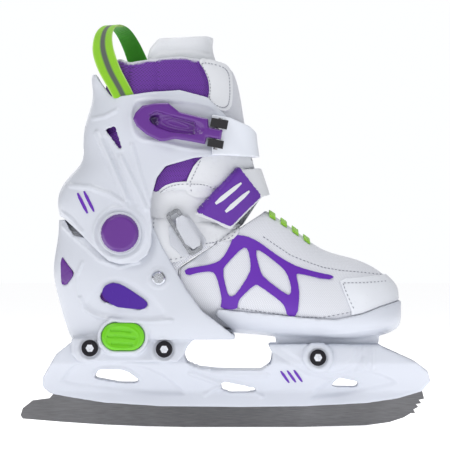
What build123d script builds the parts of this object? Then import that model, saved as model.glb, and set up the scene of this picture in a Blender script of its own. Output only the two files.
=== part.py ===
from build123d import *
import math
import os

# Size-adjustable child's ice skate, right foot. Millimetres. +X is the toe, +Z is up and -Y is the
# outer (buckle) side. The origin is on the blade's running edge, at the middle of its length.

# ---- Blade ----
blade_thickness = 4.0
blade_seat_depth = 8.0
blade_bottom = [(-142, 8.3), (-140.5, 5.9), (-113, 3.6), (-83.5, 1.7), (-54, 0.5), (-28, 0), (54, 0),
                (99, 1.1), (116, 3.4), (126, 6.7), (131, 9.7), (134.1, 9.7)]
blade_picks = [(132.8, 12.3), (136.2, 14), (134.6, 16), (138.4, 16.6), (136.6, 19), (140.3, 19.8), (139, 25.1)]
blade_tail = [(-121.8, 20.1), (-133.6, 18.6), (-140.5, 13.2)]
# ---- Blade holder ----
holder_foot = [(-121.2, 23.6), (-108, 21.1), (-83.5, 17.2), (-44.2, 14.7), (11.5, 14), (54.7, 14.6),
               (99.3, 16.8), (121.7, 20.1), (138.4, 25.1)]
holder_nose = [(144.3, 32.3), (142.1, 39.8), (133.6, 46.2), (111, 56.4)]
holder_heel = [(-104, 61.5), (-108.4, 58), (-116.1, 51.9), (-126.4, 34.5), (-126.4, 28.4)]
front_top = 58.6
rear_top = 61.5
arch_gap = [(30.5, front_top), (34, 52), (33, 45), (26, 40.5), (-5, 41), (-18, 42.5), (-25.5, 45.5),
            (-27.5, 51), (-26, 57), (-22, rear_top)]
rib_half_width = 6.0
tower_half_width = 23.6
skirt_clearance = 0.2
skirt_wall = 3.2
skirt_half_width = tower_half_width + skirt_clearance + skirt_wall
rib_top = 25.0
flare_top = 45.0
tower_wall = 5.0
rear_gap = [(-90.7, 34.9), (-87, 40.8), (-71, 40.8), (-65.5, 38.7), (-56.4, 31.4), (-72.5, 31.6)]
middle_gap = [(-3, 31.6), (1, 32.2), (22.3, 27.6), (23.5, 24.6), (5.6, 24.2), (-1, 26.5)]
front_gap = [(74, 28.8), (80.4, 35), (94.5, 32), (93, 28.6)]
# ---- Bolts ----
bolt_radius = 3.0
bolt_clearance = 0.05
head_radius = 5.7
head_height = 3.6
washer_radius = 5.85
washer_thickness = 1.0
lug_radius = 10.2
sleeve_radius = 5.0
rear_bolts = [(-92.5, 56.1), (-41.1, 55.3)]
front_bolt = (65.3, 49.6)
clamp_half_width = skirt_half_width
nut_width = 10.0
nut_height = 4.0
# ---- Heel shell ----
shell_wall = 3.0
# Level sections of the heel shell: height, back, front, widest station, half width.
heel_rows = [(62, -106.5, 45, -30, 31), (68, -109, 45, -30, 34.5), (76, -111.6, 45, -32, 36.8),
             (88, -115, 45, -38, 38), (102, -118.1, 45, -46, 38), (120, -117.8, 45, -54, 36.2),
             (136, -115.4, 45, -60, 35.2), (154, -112, 45, -62, 35)]
heel_floor = 4.0
heel_profile = [(-124, 62), (8, 62), (8, 64.3), (3, 68.4), (-15.5, 82.7), (-25.8, 97.2), (-43.2, 128),
                (-49.9, 142.3), (-53, 150), (-60, 153), (-82, 153), (-90, 146), (-96, 133), (-104, 134),
                (-110.5, 145), (-124, 145)]
skirt_outline = [(-100.5, 46.5), (-31.9, 46.5), (-27, 52), (-25, 57), (-20, 63), (-105.5, 63), (-105.5, 52)]
tear_vent = [(-85.5, 91.2), (-84.4, 94.4), (-76.4, 101.6), (-54, 89), (-52, 86), (-57.2, 83), (-82.7, 88.3)]
heel_vent = [(-112.5, 119.2), (-103.3, 107.9), (-109.5, 99.2), (-112.6, 103.3)]
vent_depth = 1.0
skin_gap = 0.15
vent_lap = 2.5
# ---- Size button ----
button_centre = (-69.4, 64.3)
button_length = 29.6
button_height = 19.0
button_gap = 0.25
button_face = 36.4
button_depth = 6.4
housing_rim = 3.0
housing_face = 35.0
latch_width = 5.0
latch_thickness = 3.0
latch_reach = 7.8
latch_tooth = 1.4
spring_radius = 2.6
spring_wire = 0.5
# ---- Toe body ----
toe_travel = 20.0
# Upright sections of the forefoot: station, half width, bottom, top, sideways shift to the big toe.
vamp_rows = [(-34, 29.5, 70, 150, 0), (-14, 31, 69.6, 158, 0), (8, 34, 68.4, 161, 0), (30, 38, 66.5, 151, 0),
             (50, 41, 65, 137.5, 1), (70, 43, 64, 124, 2), (90, 42, 64, 118, 3.5), (106, 35.5, 66, 111, 5),
             (117, 25, 70, 102, 6), (121.4, 13, 76, 94, 6.5)]
vamp_wall = 3.5
tray_wall = 2.6
tray_edge = [(9.5, 58), (9.5, 64.6), (5.6, 68.6), (-6, 79), (-4, 83.2), (30, 80), (60, 77.2),
             (77, 76.2), (96, 80), (108, 84.5), (130, 91), (130, 58)]
keel_half_width = 17.0
keel_clearance = 0.4
keel_outline = [(36, 66), (38, 47), (43, 43), (96, 43), (108, 60), (108, 66)]
tongue_half_width = 13.0
tongue_back = -97.0
tongue_low = 66.3
tongue_high = 69.0
latch_slot_back = -95.0
latch_slot_front = -63.0
latch_slot_middle = -7.0
latch_slot_width = 4.9
toe_cap = [(80, 102.5), (84, 104.6), (113.5, 107), (130, 109), (130, 60), (88, 60), (88, 82)]
cap_thickness = 1.2
# The side overlay is a lattice of flat ribs, each with its ends and its width.
lattice_ribs = [((-27, 108), (-16, 111.6), 6), ((-16, 111.6), (-2, 115.5), 5), ((-2, 115.5), (12, 131), 6),
                ((12, 131), (22, 133), 6), ((22, 133), (36, 120.5), 4.5), ((36, 120.5), (50, 113.5), 4.5),
                ((50, 113.5), (77, 105.5), 3.5), ((-2, 115.5), (4, 92), 5), ((4, 92), (2, 84), 6),
                ((4, 92), (20, 107), 4), ((14, 129), (20, 107), 4.5), ((20, 107), (47, 92.5), 5),
                ((47, 92.5), (47.5, 112), 4.5), ((47, 92.5), (47, 79.5), 6)]
overlay_thickness = 1.1
overlay_lift = 0.4
# ---- Soft upper, level sections: height, back, front, widest station, half width ----
upper_rows = [(69.6, -99, 42, -38, 25.5), (78, -104, 42, -38, 29), (90, -109, 42, -42, 31.5),
              (105, -112.3, 42, -48, 33), (125, -111.5, 39, -55, 31.8), (145, -108, 33, -58, 31.2),
              (165, -104, 27, -56, 34.5), (180, -96.5, 22, -50, 36.3), (195, -93, 18, -46, 37.2),
              (210, -90.6, 15, -42, 37), (226, -86, 12.5, -40, 36.2), (242, -81, 9, -38, 34.8),
              (258, -75, 1, -37, 32)]
upper_wall = 5.5
split_line = [(-31, 60), (-31, 112), (27, 150), (60, 190)]
split_gap = 0.8
quarter_top_back = 161.5
quarter_front = 13.0
collar_low_back = 164.0
collar_low_front = 168.0
collar_top = [(-120, 236), (-88, 240), (-78, 256), (-72, 257.4), (-65, 254), (-48, 256.5), (-30, 258), (-1, 254),
              (8, 247.7), (11, 238.6), (12, 230), (30, 224)]
footbed_low = 80.0
footbed_thickness = 2.6
# ---- Cuff ----
cuff_wall = 3.0
pivot = (-71.3, 135.7)
pin_radius = 4.0
pin_clearance = 0.08
pin_inner = 32.5
pin_reach = 10.0
cap_radius = 13.3
cap_ring = 14.7
cap_seat = 41.7
cap_height = 4.5
cuff_rows = [(106, -106, 24, -62, 41.2), (126, -111, 25, -62, 41.2), (146, -114, 26, -61, 41.2),
             (157, -115.7, 26, -58, 41.3), (172, -110.4, 25, -54, 41.4), (183, -101.4, 23, -50, 41.4),
             (195, -98, 21, -47, 41.3), (208, -97.2, 19.5, -44, 41.2), (218, -94.6, 18, -42, 40.8),
             (232, -91.3, 15.5, -40, 40), (250, -89.7, 12, -38, 39)]
cuff_profile = [(-121, 146.7), (-111.8, 146.7), (-98.6, 135), (-85.6, 122), (-79, 116.4), (-71, 114.2),
                (-60, 115.2), (-52.5, 120.6), (-49.6, 128), (-49.2, 141.3), (-50.4, 154.3), (-48.9, 163.1),
                (-45.9, 173.9), (-40, 181.8), (-19.5, 187.7), (1, 189.5), (5, 205), (2.2, 216.2), (-11, 229.4),
                (-30.2, 234.3), (-50, 233), (-65.6, 230.9), (-77.4, 229.9), (-86.2, 241.6), (-88.6, 246.4),
                (-121, 246.4)]
wing_end = -24.0
cuff_vent = [(-81.8, 207.3), (-74.8, 209.7), (-68, 188.2)]
back_vent_low = 176.5
back_vent_high = 195.5
back_vent_half_width = 12.0
shell_rivet = (-44.8, 104.7)
rivet_radius = 4.6
rivet_seat = 38.2
# ---- Tongue ----
pad_thickness = 7.0
pad_profile = [(-50, 236), (-53, 258), (-51, 264), (-45, 271), (-30, 271.4), (-10.6, 273), (-5.2, 271.5),
               (-2.2, 266), (-0.8, 254), (30, 236), (30, 168), (-8, 168), (-30, 190)]
pad_tip_rows = [(158, -90, 20, -50, 26.5), (180, -88, 14.2, -48, 29.5), (210, -84, 8.5, -42, 30),
                (238, -78, 2.4, -38, 27.6), (256, -74, -5.4, -37, 25.2), (275, -72, -5, -36, 25)]
# ---- Pull loop ----
loop_base = (-69.5, 235)
loop_top = (-81.5, 281.6)
loop_inset = 2.2
loop_half_width = upper_rows[-3][4] - loop_inset
loop_thickness = 1.5
webbing_width = 17.0
# ---- Buckle ----
strap_gap = 0.6
strap_thickness = 2.6
strap_profile = [(-8, 189.6), (18.5, 188.5), (40, 189), (40, 200), (23, 205.7), (18, 210), (4.5, 215.5), (-8, 217.5)]
strap_back_profile = [(-30, 193), (-8, 189.6), (-8, 217.5), (-30, 217)]
hinge_point = (-3.9, 203.9)
hinge_tilt = 10.0
hinge_out = 44.6
hinge_pin_radius = 1.5
lever_inner = 42.2
lever_outer = 48.2
lever_outline = [(-62.2, 214), (-60.5, 218.5), (-55.8, 223.2), (-46.9, 225), (-38.2, 225.3), (-34.2, 222),
                 (-30.5, 219.1), (-10.6, 214.2), (-10.2, 208.3), (-0.6, 206.6), (-1.8, 199.9), (-11.6, 201.6),
                 (-12.6, 196.7), (-20.7, 198.4), (-33.3, 200.4), (-40.3, 198.9), (-43.8, 198.9),
                 (-52.9, 203.3), (-59.7, 209.1)]
finger_recess = [(-51, 217), (-46, 219.4), (-20, 212), (-19.5, 203.6), (-36, 205), (-46, 208.5)]
recess_depth = 2.4
ear_upper = [(-9.3, 209), (2.2, 207), (3.4, 213), (-8.2, 215)]
ear_lower = [(-11.3, 195.6), (-0.6, 193.6), (0.3, 198.9), (-10.4, 200.9)]
# ---- Instep strap ----
instep_side = [(-20, 148.3), (9.5, 179.5), (60, 184), (60, 170), (26.6, 160.9), (6, 139.2)]
instep_inner_side = [(-30, 122), (9.5, 179.5), (60, 184), (60, 170), (26.6, 160.9), (-6, 112)]
instep_gap = 2.7
instep_thickness = 1.9
ring_centre = (-27, 136.5)
ring_turn = -58.0
ring_length = 34.0
ring_width = 11.0
ring_wire = 1.4
ring_out = 35.7
tab_gap = 0.4
ring_tab_outline = [(-38, 140), (-24, 148), (-12, 131), (-14, 126), (-28, 119), (-37, 128)]
tab_thickness = 2.4

# Small fits, edges and cuts
blade_front_shoulder = (128, 30)
blade_rear_shoulder = (-116, 27)
holder_step = 108
keel_room_middle = 77
keel_room_length = 94
tower_room_middle = -66
tower_room_length = 72
housing_root = 1.2
housing_bore = 4
pin_fit = 0.02
latch_room_shift = 6
latch_room_extra = 10
latch_side_room = 1
latch_lift = 0.4
HEX_SIDES = 6
head_chamfer = 0.6
socket_radius = 2.9
button_round = 1.6
rivet_head = 3.4
rivet_lip = 1.6
spring_gap = 0.3
spring_spread = 8.5
spring_drop = 5
tray_toe_wall = 2.4
toe_gap = 0.3
slot_room = 0.4
lace_stations = [34, 42, 50, 58]
lace_thickness = 2.2
lace_width = 4.5
lace_span = 34
lace_base = 110
lace_cut = 80
footbed_gap = 0.3
wing_cut_base = 170
WING_CUT = 100
cap_rim = 1.2
cap_taper = 35
ring_corner = 1.6
ear_reach = 11.0
ear_lap = 2.8
ear_root = 30
bracket_gap = 0.1
lever_chamfer = 1.2
strap_rivet_centre = (-22, 205)
strap_rivet_radius = 3.6
strap_rivet_root = 36
strap_rivet_length = 8.6

SECTION_POINTS = 28
FAR = 200.0


def egg(back, front, centre, half_width, power=2.4):
    """Points of a smooth closed outline, widest at the centre station."""
    points = []
    for step in range(SECTION_POINTS):
        turn = 2 * math.pi * step / SECTION_POINTS
        along, across = math.cos(turn), math.sin(turn)
        reach = front - centre if along > 0 else centre - back
        x = centre + reach * math.copysign(abs(along) ** (2 / power), along)
        points.append((x, math.copysign(half_width * abs(across) ** (2 / power), across)))
    return points


def arch(half_width, bottom, top, shift):
    """Points of an upright section of the forefoot: square at the sole and round on top."""
    middle = bottom + 0.36 * (top - bottom)
    points = []
    for step in range(SECTION_POINTS):
        turn = 2 * math.pi * step / SECTION_POINTS
        across, up = math.cos(turn), math.sin(turn)
        power, reach = (2.1, top - middle) if up > 0 else (2.8, middle - bottom)
        y = shift + math.copysign(half_width * abs(across) ** (2 / 2.3), across)
        points.append((y, middle + math.copysign(reach * abs(up) ** (2 / power), up)))
    return points


def level_loft(rows, grow=0.0):
    """Solid through level sections, grown outwards all round by an amount."""
    with BuildPart() as solid:
        for height, back, front, centre, half_width in rows:
            with BuildSketch(Plane.XY.offset(height)):
                with BuildLine():
                    Spline(*egg(back - grow, front + grow, centre, half_width + grow), periodic=True)
                make_face()
        loft()
    return solid.part


def upright_loft(rows, grow=0.0, toe_grow=0.0):
    """Solid through upright sections, grown outwards by an amount, with a longer or shorter toe end."""
    with BuildPart() as solid:
        for number, (station, half_width, bottom, top, shift) in enumerate(rows):
            place = station + toe_grow * number / (len(rows) - 1)
            with BuildSketch(Plane.YZ.offset(place)):
                with BuildLine():
                    Spline(*arch(half_width + grow, bottom - grow, top + grow, shift), periodic=True)
                make_face()
        loft()
    return solid.part


def side_prism(outline, low, high):
    """Solid with an outline of X and Z points, between two Y stations."""
    with BuildPart() as solid:
        with BuildSketch(Plane.XZ.offset(-high)):
            with BuildLine():
                Polyline(*outline, close=True)
            make_face()
        extrude(amount=high - low)
    return solid.part


def rod(centre, radius, low, high):
    """Round bar along Y at an X and Z place."""
    with BuildPart() as solid:
        with BuildSketch(Plane.XZ.offset(-high)):
            with Locations(centre):
                Circle(radius)
        extrude(amount=high - low)
    return solid.part


def rib(start, end, width, low, high):
    """Flat bar with round ends between two X and Z points."""
    length = math.dist(start, end)
    middle = ((start[0] + end[0]) / 2, (start[1] + end[1]) / 2)
    turn = math.degrees(math.atan2(end[1] - start[1], end[0] - start[0]))
    with BuildPart() as solid:
        with BuildSketch(Plane.XZ.offset(-high)):
            with Locations(middle):
                SlotCenterToCenter(length, width, rotation=turn)
        extrude(amount=high - low)
    return solid.part


def save(part, label):
    """Labels a finished piece and writes its file."""
    part.label = label
    export_step(part, "parts/" + label + ".step")


os.makedirs("parts", exist_ok=True)

# ---- Blade ----
blade_seat = [(x, z + blade_seat_depth) for x, z in reversed(holder_foot[1:-1])]
blade_outline = blade_bottom + blade_picks + [blade_front_shoulder] + blade_seat + [blade_rear_shoulder] + blade_tail
with BuildPart() as blade:
    with BuildSketch(Plane.XZ.offset(-blade_thickness / 2)):
        with BuildLine():
            Polyline(*blade_outline, close=True)
        make_face()
    extrude(amount=blade_thickness)
save(blade.part, "blade")

# ---- Blade holder: a T-shaped bar with two towers ----
holder_outline = holder_foot + holder_nose + [(holder_step, front_top)] + arch_gap + holder_heel
keel_room = keel_half_width + keel_clearance
with BuildPart() as blade_holder:
    with BuildSketch(Plane.XZ.offset(-tower_half_width)) as holder_side:
        with BuildLine():
            Polyline(*holder_outline, close=True)
        make_face()
        for gap in (rear_gap, middle_gap, front_gap):
            with BuildLine():
                Polyline(*gap, close=True)
            make_face(mode=Mode.SUBTRACT)
    extrude(amount=2 * tower_half_width)
    with BuildSketch(Plane.YZ.offset(-FAR)):
        with BuildLine():
            Polyline((-rib_half_width, 0), (rib_half_width, 0), (rib_half_width, rib_top),
                     (tower_half_width, flare_top), (tower_half_width, FAR), (-tower_half_width, FAR),
                     (-tower_half_width, flare_top), (-rib_half_width, rib_top), close=True)
        make_face()
    extrude(amount=2 * FAR, mode=Mode.INTERSECT)
    for place in [front_bolt]:
        with BuildSketch(Plane.XZ.offset(-clamp_half_width)):
            with Locations(place):
                Circle(lug_radius)
        extrude(amount=2 * clamp_half_width)
    with BuildSketch(Plane.XY.offset(keel_outline[2][1] - keel_clearance)):
        with Locations((keel_room_middle, 0)):
            Rectangle(keel_room_length, 2 * keel_room)
    extrude(amount=FAR, mode=Mode.SUBTRACT)
    with BuildSketch(Plane.XY.offset(flare_top + 1)):
        with Locations((tower_room_middle, 0)):
            Rectangle(tower_room_length, 2 * (tower_half_width - tower_wall))
    extrude(amount=FAR, mode=Mode.SUBTRACT)
    with BuildSketch(Plane.XZ.offset(-FAR)):
        with Locations(*rear_bolts, front_bolt):
            Circle(bolt_radius + bolt_clearance)
    extrude(amount=2 * FAR, mode=Mode.SUBTRACT)
    add(blade.part, mode=Mode.SUBTRACT)
save(blade_holder.part, "blade_holder")

# ---- Heel shell: a cup on a hollow skirt that holds the rear tower ----
heel_outer = level_loft(heel_rows)
heel_room_rows = [(heel_rows[0][0] + heel_floor, *heel_rows[1][1:])] + heel_rows[2:-1]
heel_room_rows.append((heel_rows[-1][0] + 2, *heel_rows[-1][1:]))
heel_inner = level_loft(heel_room_rows, -shell_wall)
heel_side = side_prism(heel_profile, -FAR, FAR)
skirt = side_prism(skirt_outline, -skirt_half_width, skirt_half_width)
skirt_room = side_prism([(-108, 40), (-22, 40), (-22, rear_top + 0.3), (-108, rear_top + 0.3)],
                        -tower_half_width - skirt_clearance, tower_half_width + skirt_clearance)
with BuildPart() as heel_shell:
    add(heel_outer)
    add(heel_inner, mode=Mode.SUBTRACT)
    add(heel_side, mode=Mode.INTERSECT)
    add(skirt)
    with BuildSketch(Plane.XZ.offset(button_face - button_depth - housing_root)):
        with Locations(button_centre):
            SlotOverall(button_length + 2 * housing_rim, button_height + 2 * housing_rim)
    extrude(amount=housing_face - (button_face - button_depth - housing_root))
    add(skirt_room, mode=Mode.SUBTRACT)
    with BuildSketch(Plane.XZ.offset(skirt_half_width - housing_bore)):
        with Locations(button_centre):
            SlotOverall(button_length + 2 * button_gap, button_height + 2 * button_gap)
    extrude(amount=FAR, mode=Mode.SUBTRACT)
    for outline in (tear_vent, heel_vent):
        with BuildSketch(Plane.XZ.offset(-FAR)):
            with BuildLine():
                Polyline(*outline, close=True)
            make_face()
        extrude(amount=2 * FAR, mode=Mode.SUBTRACT)
    with BuildSketch(Plane.XZ.offset(-FAR)):
        with Locations(*rear_bolts):
            Circle(bolt_radius + bolt_clearance)
        with Locations(pivot):
            Circle(pin_radius + pin_fit)
        with Locations(shell_rivet):
            Circle(rivet_radius / 2)
    extrude(amount=2 * FAR, mode=Mode.SUBTRACT)
    with BuildSketch(Plane.XY.offset(heel_rows[0][0] - 2)):
        with Locations((button_centre[0], -latch_reach - latch_room_shift)):
            Rectangle(latch_width + latch_side_room, 2 * latch_reach + latch_room_extra)
    extrude(amount=heel_floor + 3, mode=Mode.SUBTRACT)
save(heel_shell.part, "heel_shell")

# Mesh seen through the heel shell's vents, a thin skin bonded inside the wall.
heel_skin = (level_loft(heel_room_rows, -shell_wall - skin_gap)
             - level_loft(heel_room_rows, -shell_wall - skin_gap - vent_depth))
with BuildPart() as heel_vent_mesh:
    with BuildSketch(Plane.XZ.offset(-FAR)):
        for outline in (tear_vent, heel_vent):
            with BuildSketch(mode=Mode.PRIVATE) as vent:
                with BuildLine():
                    Polyline(*outline, close=True)
                make_face()
            add(offset(vent.sketch, amount=vent_lap, mode=Mode.PRIVATE))
    extrude(amount=2 * FAR)
    add(heel_skin, mode=Mode.INTERSECT)
save(heel_vent_mesh.part, "heel_vent_mesh")

# ---- Bolts, washers, nuts and the sleeves between the tower walls ----
all_bolts = [*rear_bolts, front_bolt]
head_seat = clamp_half_width + washer_thickness
with BuildPart() as holder_bolts:
    with BuildSketch(Plane.XZ.offset(-head_seat - nut_height)):
        with Locations(*all_bolts):
            Circle(bolt_radius)
    extrude(amount=2 * head_seat + nut_height)
    with BuildSketch(Plane.XZ.offset(head_seat)):
        with Locations(*all_bolts):
            Circle(head_radius)
    extrude(amount=head_height)
    chamfer(holder_bolts.faces().sort_by(Axis.Y)[0:3].edges(), head_chamfer)
    with BuildSketch(Plane.XZ.offset(head_seat + head_height - 2)):
        with Locations(*all_bolts):
            RegularPolygon(socket_radius, HEX_SIDES)
    extrude(amount=2, mode=Mode.SUBTRACT)
save(holder_bolts.part, "holder_bolts")

with BuildPart() as bolt_washers:
    for seat in (clamp_half_width, -clamp_half_width - washer_thickness):
        with BuildSketch(Plane.XZ.offset(seat)):
            with Locations(*all_bolts):
                Circle(washer_radius)
                Circle(bolt_radius + bolt_clearance, mode=Mode.SUBTRACT)
        extrude(amount=washer_thickness)
save(bolt_washers.part, "bolt_washers")

with BuildPart() as holder_nuts:
    with BuildSketch(Plane.XZ.offset(-head_seat - nut_height)):
        with Locations(*all_bolts):
            RegularPolygon(nut_width / 2, HEX_SIDES, major_radius=False)
            Circle(bolt_radius, mode=Mode.SUBTRACT)
    extrude(amount=nut_height)
save(holder_nuts.part, "holder_nuts")

with BuildPart() as spacer_sleeves:
    for places, reach in ((rear_bolts, tower_half_width - tower_wall), ([front_bolt], keel_room)):
        with BuildSketch(Plane.XZ.offset(-reach)):
            with Locations(*places):
                Circle(sleeve_radius)
                Circle(bolt_radius + bolt_clearance, mode=Mode.SUBTRACT)
        extrude(amount=2 * reach)
save(spacer_sleeves.part, "spacer_sleeves")

with BuildPart() as shell_rivets:
    with BuildSketch(Plane.XZ.offset(-rivet_seat)):
        with Locations(shell_rivet):
            Circle(rivet_radius / 2 - bolt_clearance)
    extrude(amount=rivet_head)
    with BuildSketch(Plane.XZ.offset(-rivet_seat)):
        with Locations(shell_rivet):
            Circle(rivet_radius)
    extrude(amount=-rivet_lip)
    chamfer(shell_rivets.faces().sort_by(Axis.Y)[-1].edges(), 1)
    mirror(about=Plane.XZ)
save(shell_rivets.part, "shell_rivets")

# ---- Size button: an oval push with a latch stem under the tray's tongue ----
button_back = button_face - button_depth
with BuildPart() as size_button:
    with BuildSketch(Plane.XZ.offset(button_back)):
        with Locations(button_centre):
            SlotOverall(button_length, button_height)
    extrude(amount=button_depth)
    fillet(size_button.faces().sort_by(Axis.Y)[0].edges(), button_round)
    with BuildSketch(Plane.XY.offset(heel_rows[0][0] + latch_lift)):
        with Locations((button_centre[0], -(button_back + latch_reach) / 2)):
            Rectangle(latch_width, button_back - latch_reach)
    extrude(amount=latch_thickness)
    with BuildSketch(Plane.XY.offset(heel_rows[0][0] + latch_lift)):
        with Locations((button_centre[0], -latch_reach - latch_tooth / 2)):
            Rectangle(latch_width, latch_tooth)
    extrude(amount=tongue_high - heel_rows[0][0] - latch_lift)
save(size_button.part, "size_button")

# ---- Return spring of the size button, round the stem's root under the floor ----
spring_start = -(button_back - pin_fit)
spring_end = -(tower_half_width + spring_gap)
with BuildPart() as button_spring:
    for place in (-spring_spread, spring_spread):
        with BuildSketch(Plane.XZ.offset(-spring_end)):
            with Locations((button_centre[0] + place, button_centre[1] - spring_drop)):
                Circle(spring_radius)
                Circle(spring_radius - spring_wire, mode=Mode.SUBTRACT)
        extrude(amount=spring_end - spring_start)
save(button_spring.part, "button_spring")

# ---- Toe shell: tray, keel and latch tongue ----
vamp_outer = upright_loft(vamp_rows)
tray_outer = upright_loft(vamp_rows, tray_wall, tray_toe_wall)
tray_room = upright_loft(vamp_rows, skin_gap, toe_gap)
tray_side = side_prism(tray_edge, -FAR, FAR)
keel = side_prism(keel_outline, -keel_half_width, keel_half_width)
latch_tongue = side_prism([(tongue_back, tongue_low), (60, tongue_low), (60, tongue_high),
                           (tongue_back, tongue_high)], -tongue_half_width, tongue_half_width)
with BuildPart() as toe_shell:
    add(tray_outer)
    add(tray_side, mode=Mode.INTERSECT)
    add(keel)
    add(latch_tongue)
    add(tray_room, mode=Mode.SUBTRACT)
    with BuildSketch(Plane.XY.offset(tongue_low)):
        with Locations(((latch_slot_back + latch_slot_front) / 2, latch_slot_middle)):
            Rectangle(latch_slot_front - latch_slot_back, latch_slot_width)
    extrude(amount=tongue_high - tongue_low, mode=Mode.SUBTRACT)
    with BuildSketch(Plane.XZ.offset(-FAR)):
        with Locations((front_bolt[0] - toe_travel / 2, front_bolt[1])):
            SlotCenterToCenter(toe_travel, 2 * sleeve_radius + slot_room)
    extrude(amount=2 * FAR, mode=Mode.SUBTRACT)
save(toe_shell.part, "toe_shell")

# ---- Vamp: the soft forefoot, with the tongue's lower end ----
vamp_side = side_prism([*[(x + split_gap, z) for x, z in split_line], (130, 190), (130, 55)], -FAR, FAR)
vamp_room = upright_loft([(-36, *vamp_rows[0][1:])] + vamp_rows[1:-1], -vamp_wall)
with BuildPart() as vamp:
    add(vamp_outer)
    add(vamp_room, mode=Mode.SUBTRACT)
    add(vamp_side, mode=Mode.INTERSECT)
save(vamp.part, "vamp")

# ---- Overlays on the vamp: thin skins cut to an outline, above the tray's rim ----
above_tray = side_prism([(x, z + overlay_lift) for x, z in tray_edge[4:-1]] + [(130, 190), (-60, 190), (-60, 83)],
                        -FAR, FAR)
lattice_bars = [rib(start, end, width, -FAR, 0) for start, end, width in lattice_ribs]
lattice_skin = upright_loft(vamp_rows, overlay_thickness)
with BuildPart() as lattice_overlay:
    add(lattice_bars)
    add(lattice_skin, mode=Mode.INTERSECT)
    add(tray_room, mode=Mode.SUBTRACT)
    add(vamp_side, mode=Mode.INTERSECT)
    add(above_tray, mode=Mode.INTERSECT)
save(lattice_overlay.part, "lattice_overlay")

cap_skin = upright_loft(vamp_rows, cap_thickness, 1.0)
cap_side = side_prism(toe_cap, -FAR, FAR)
with BuildPart() as toe_cap_overlay:
    add(cap_skin)
    add(cap_side, mode=Mode.INTERSECT)
    add(tray_room, mode=Mode.SUBTRACT)
    add(above_tray, mode=Mode.INTERSECT)
save(toe_cap_overlay.part, "toe_cap_overlay")

lace_skin = upright_loft(vamp_rows, lace_thickness)
with BuildPart() as laces:
    for station in lace_stations:
        with BuildSketch(Plane.XY.offset(lace_base)):
            with Locations((station, 1)):
                Rectangle(lace_width, lace_span)
        extrude(amount=lace_cut)
    add(lace_skin, mode=Mode.INTERSECT)
    add(tray_room, mode=Mode.SUBTRACT)
    add(vamp_side, mode=Mode.INTERSECT)
save(laces.part, "laces")

# ---- Quarter: the soft heel half ----
upper_outer = level_loft(upper_rows)
upper_room = level_loft([(footbed_low - footbed_gap, *upper_rows[1][1:])] + upper_rows[2:-1]
                        + [(upper_rows[-1][0] + 3, *upper_rows[-1][1:])], -upper_wall)
(split_x, split_z), (split_end_x, split_end_z) = split_line[1:3]
split_slope = (split_end_z - split_z) / (split_end_x - split_x)
quarter_peak = (quarter_front, split_z + split_slope * (quarter_front - split_x))
quarter_side = side_prism([(-FAR, 60), *split_line[0:2], quarter_peak, (-FAR, quarter_top_back)], -FAR, FAR)
vamp_space = side_prism([(-FAR, 40), (FAR, 40), (FAR, 120), (-10, 120), (-FAR, 120)], -FAR, FAR) & vamp_outer
with BuildPart() as quarter:
    add(upper_outer)
    add(upper_room, mode=Mode.SUBTRACT)
    add(quarter_side, mode=Mode.INTERSECT)
    add(vamp_space, mode=Mode.SUBTRACT)
save(quarter.part, "quarter")

# ---- Collar: the soft ankle half, in the cuff ----
collar_side = side_prism([(-FAR, collar_low_back), (-60, collar_low_back), (31, collar_low_front), (35, 200), *reversed(collar_top), (-FAR, 236)],
                   -FAR, FAR)
with BuildPart() as collar:
    add(upper_outer)
    add(upper_room, mode=Mode.SUBTRACT)
    add(collar_side, mode=Mode.INTERSECT)
save(collar.part, "collar")

# ---- Tongue: a padded wrap inside the collar ----
pad_outer = level_loft(pad_tip_rows)
pad_room = level_loft([(row[0] + end, *row[1:]) for row, end in zip(pad_tip_rows, (-2, 0, 0, 0, 0, 2))], -pad_thickness)
pad_side = side_prism(pad_profile, -FAR, FAR)
with BuildPart() as tongue:
    add(pad_outer)
    add(pad_room, mode=Mode.SUBTRACT)
    add(pad_side, mode=Mode.INTERSECT)
save(tongue.part, "tongue")

# ---- Footbed ----
with BuildPart() as footbed:
    with BuildSketch(Plane.XY.offset(footbed_low)):
        with BuildLine():
            Spline((-92, 0), (-84, -12), (-60, -16.5), (-20, -16), (30, -23), (62, -28), (86, -26), (102, -12),
                   (105, 4), (98, 18), (82, 28), (58, 29), (30, 24), (-20, 16), (-60, 16.5), (-84, 12), periodic=True)
        make_face()
    extrude(amount=footbed_thickness)
save(footbed.part, "footbed")

# ---- Cuff shell ----
cuff_outer = level_loft(cuff_rows)
cuff_inner = level_loft([(cuff_rows[0][0] - 2, *cuff_rows[0][1:])] + cuff_rows[1:-1]
                        + [(cuff_rows[-1][0] + 2, *cuff_rows[-1][1:])], -cuff_wall)
cuff_side = side_prism(cuff_profile, -FAR, FAR)
with BuildPart() as cuff_shell:
    add(cuff_outer)
    add(cuff_inner, mode=Mode.SUBTRACT)
    add(cuff_side, mode=Mode.INTERSECT)
    with BuildSketch(Plane.XY.offset(wing_cut_base)):
        with Locations((wing_end + WING_CUT / 2, WING_CUT / 2)):
            Rectangle(WING_CUT, WING_CUT)
    extrude(amount=WING_CUT, mode=Mode.SUBTRACT)
    with BuildSketch(Plane.XZ.offset(-FAR)):
        with BuildLine():
            Polyline(*cuff_vent, close=True)
        make_face()
        with Locations(pivot):
            Circle(pin_radius + pin_clearance)
    extrude(amount=2 * FAR, mode=Mode.SUBTRACT)
    with BuildSketch(Plane.YZ.offset(-FAR)):
        with Locations((0, (back_vent_low + back_vent_high) / 2)):
            SlotOverall(2 * back_vent_half_width, back_vent_high - back_vent_low, rotation=0)
    extrude(amount=FAR - 80, mode=Mode.SUBTRACT)
save(cuff_shell.part, "cuff_shell")

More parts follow.
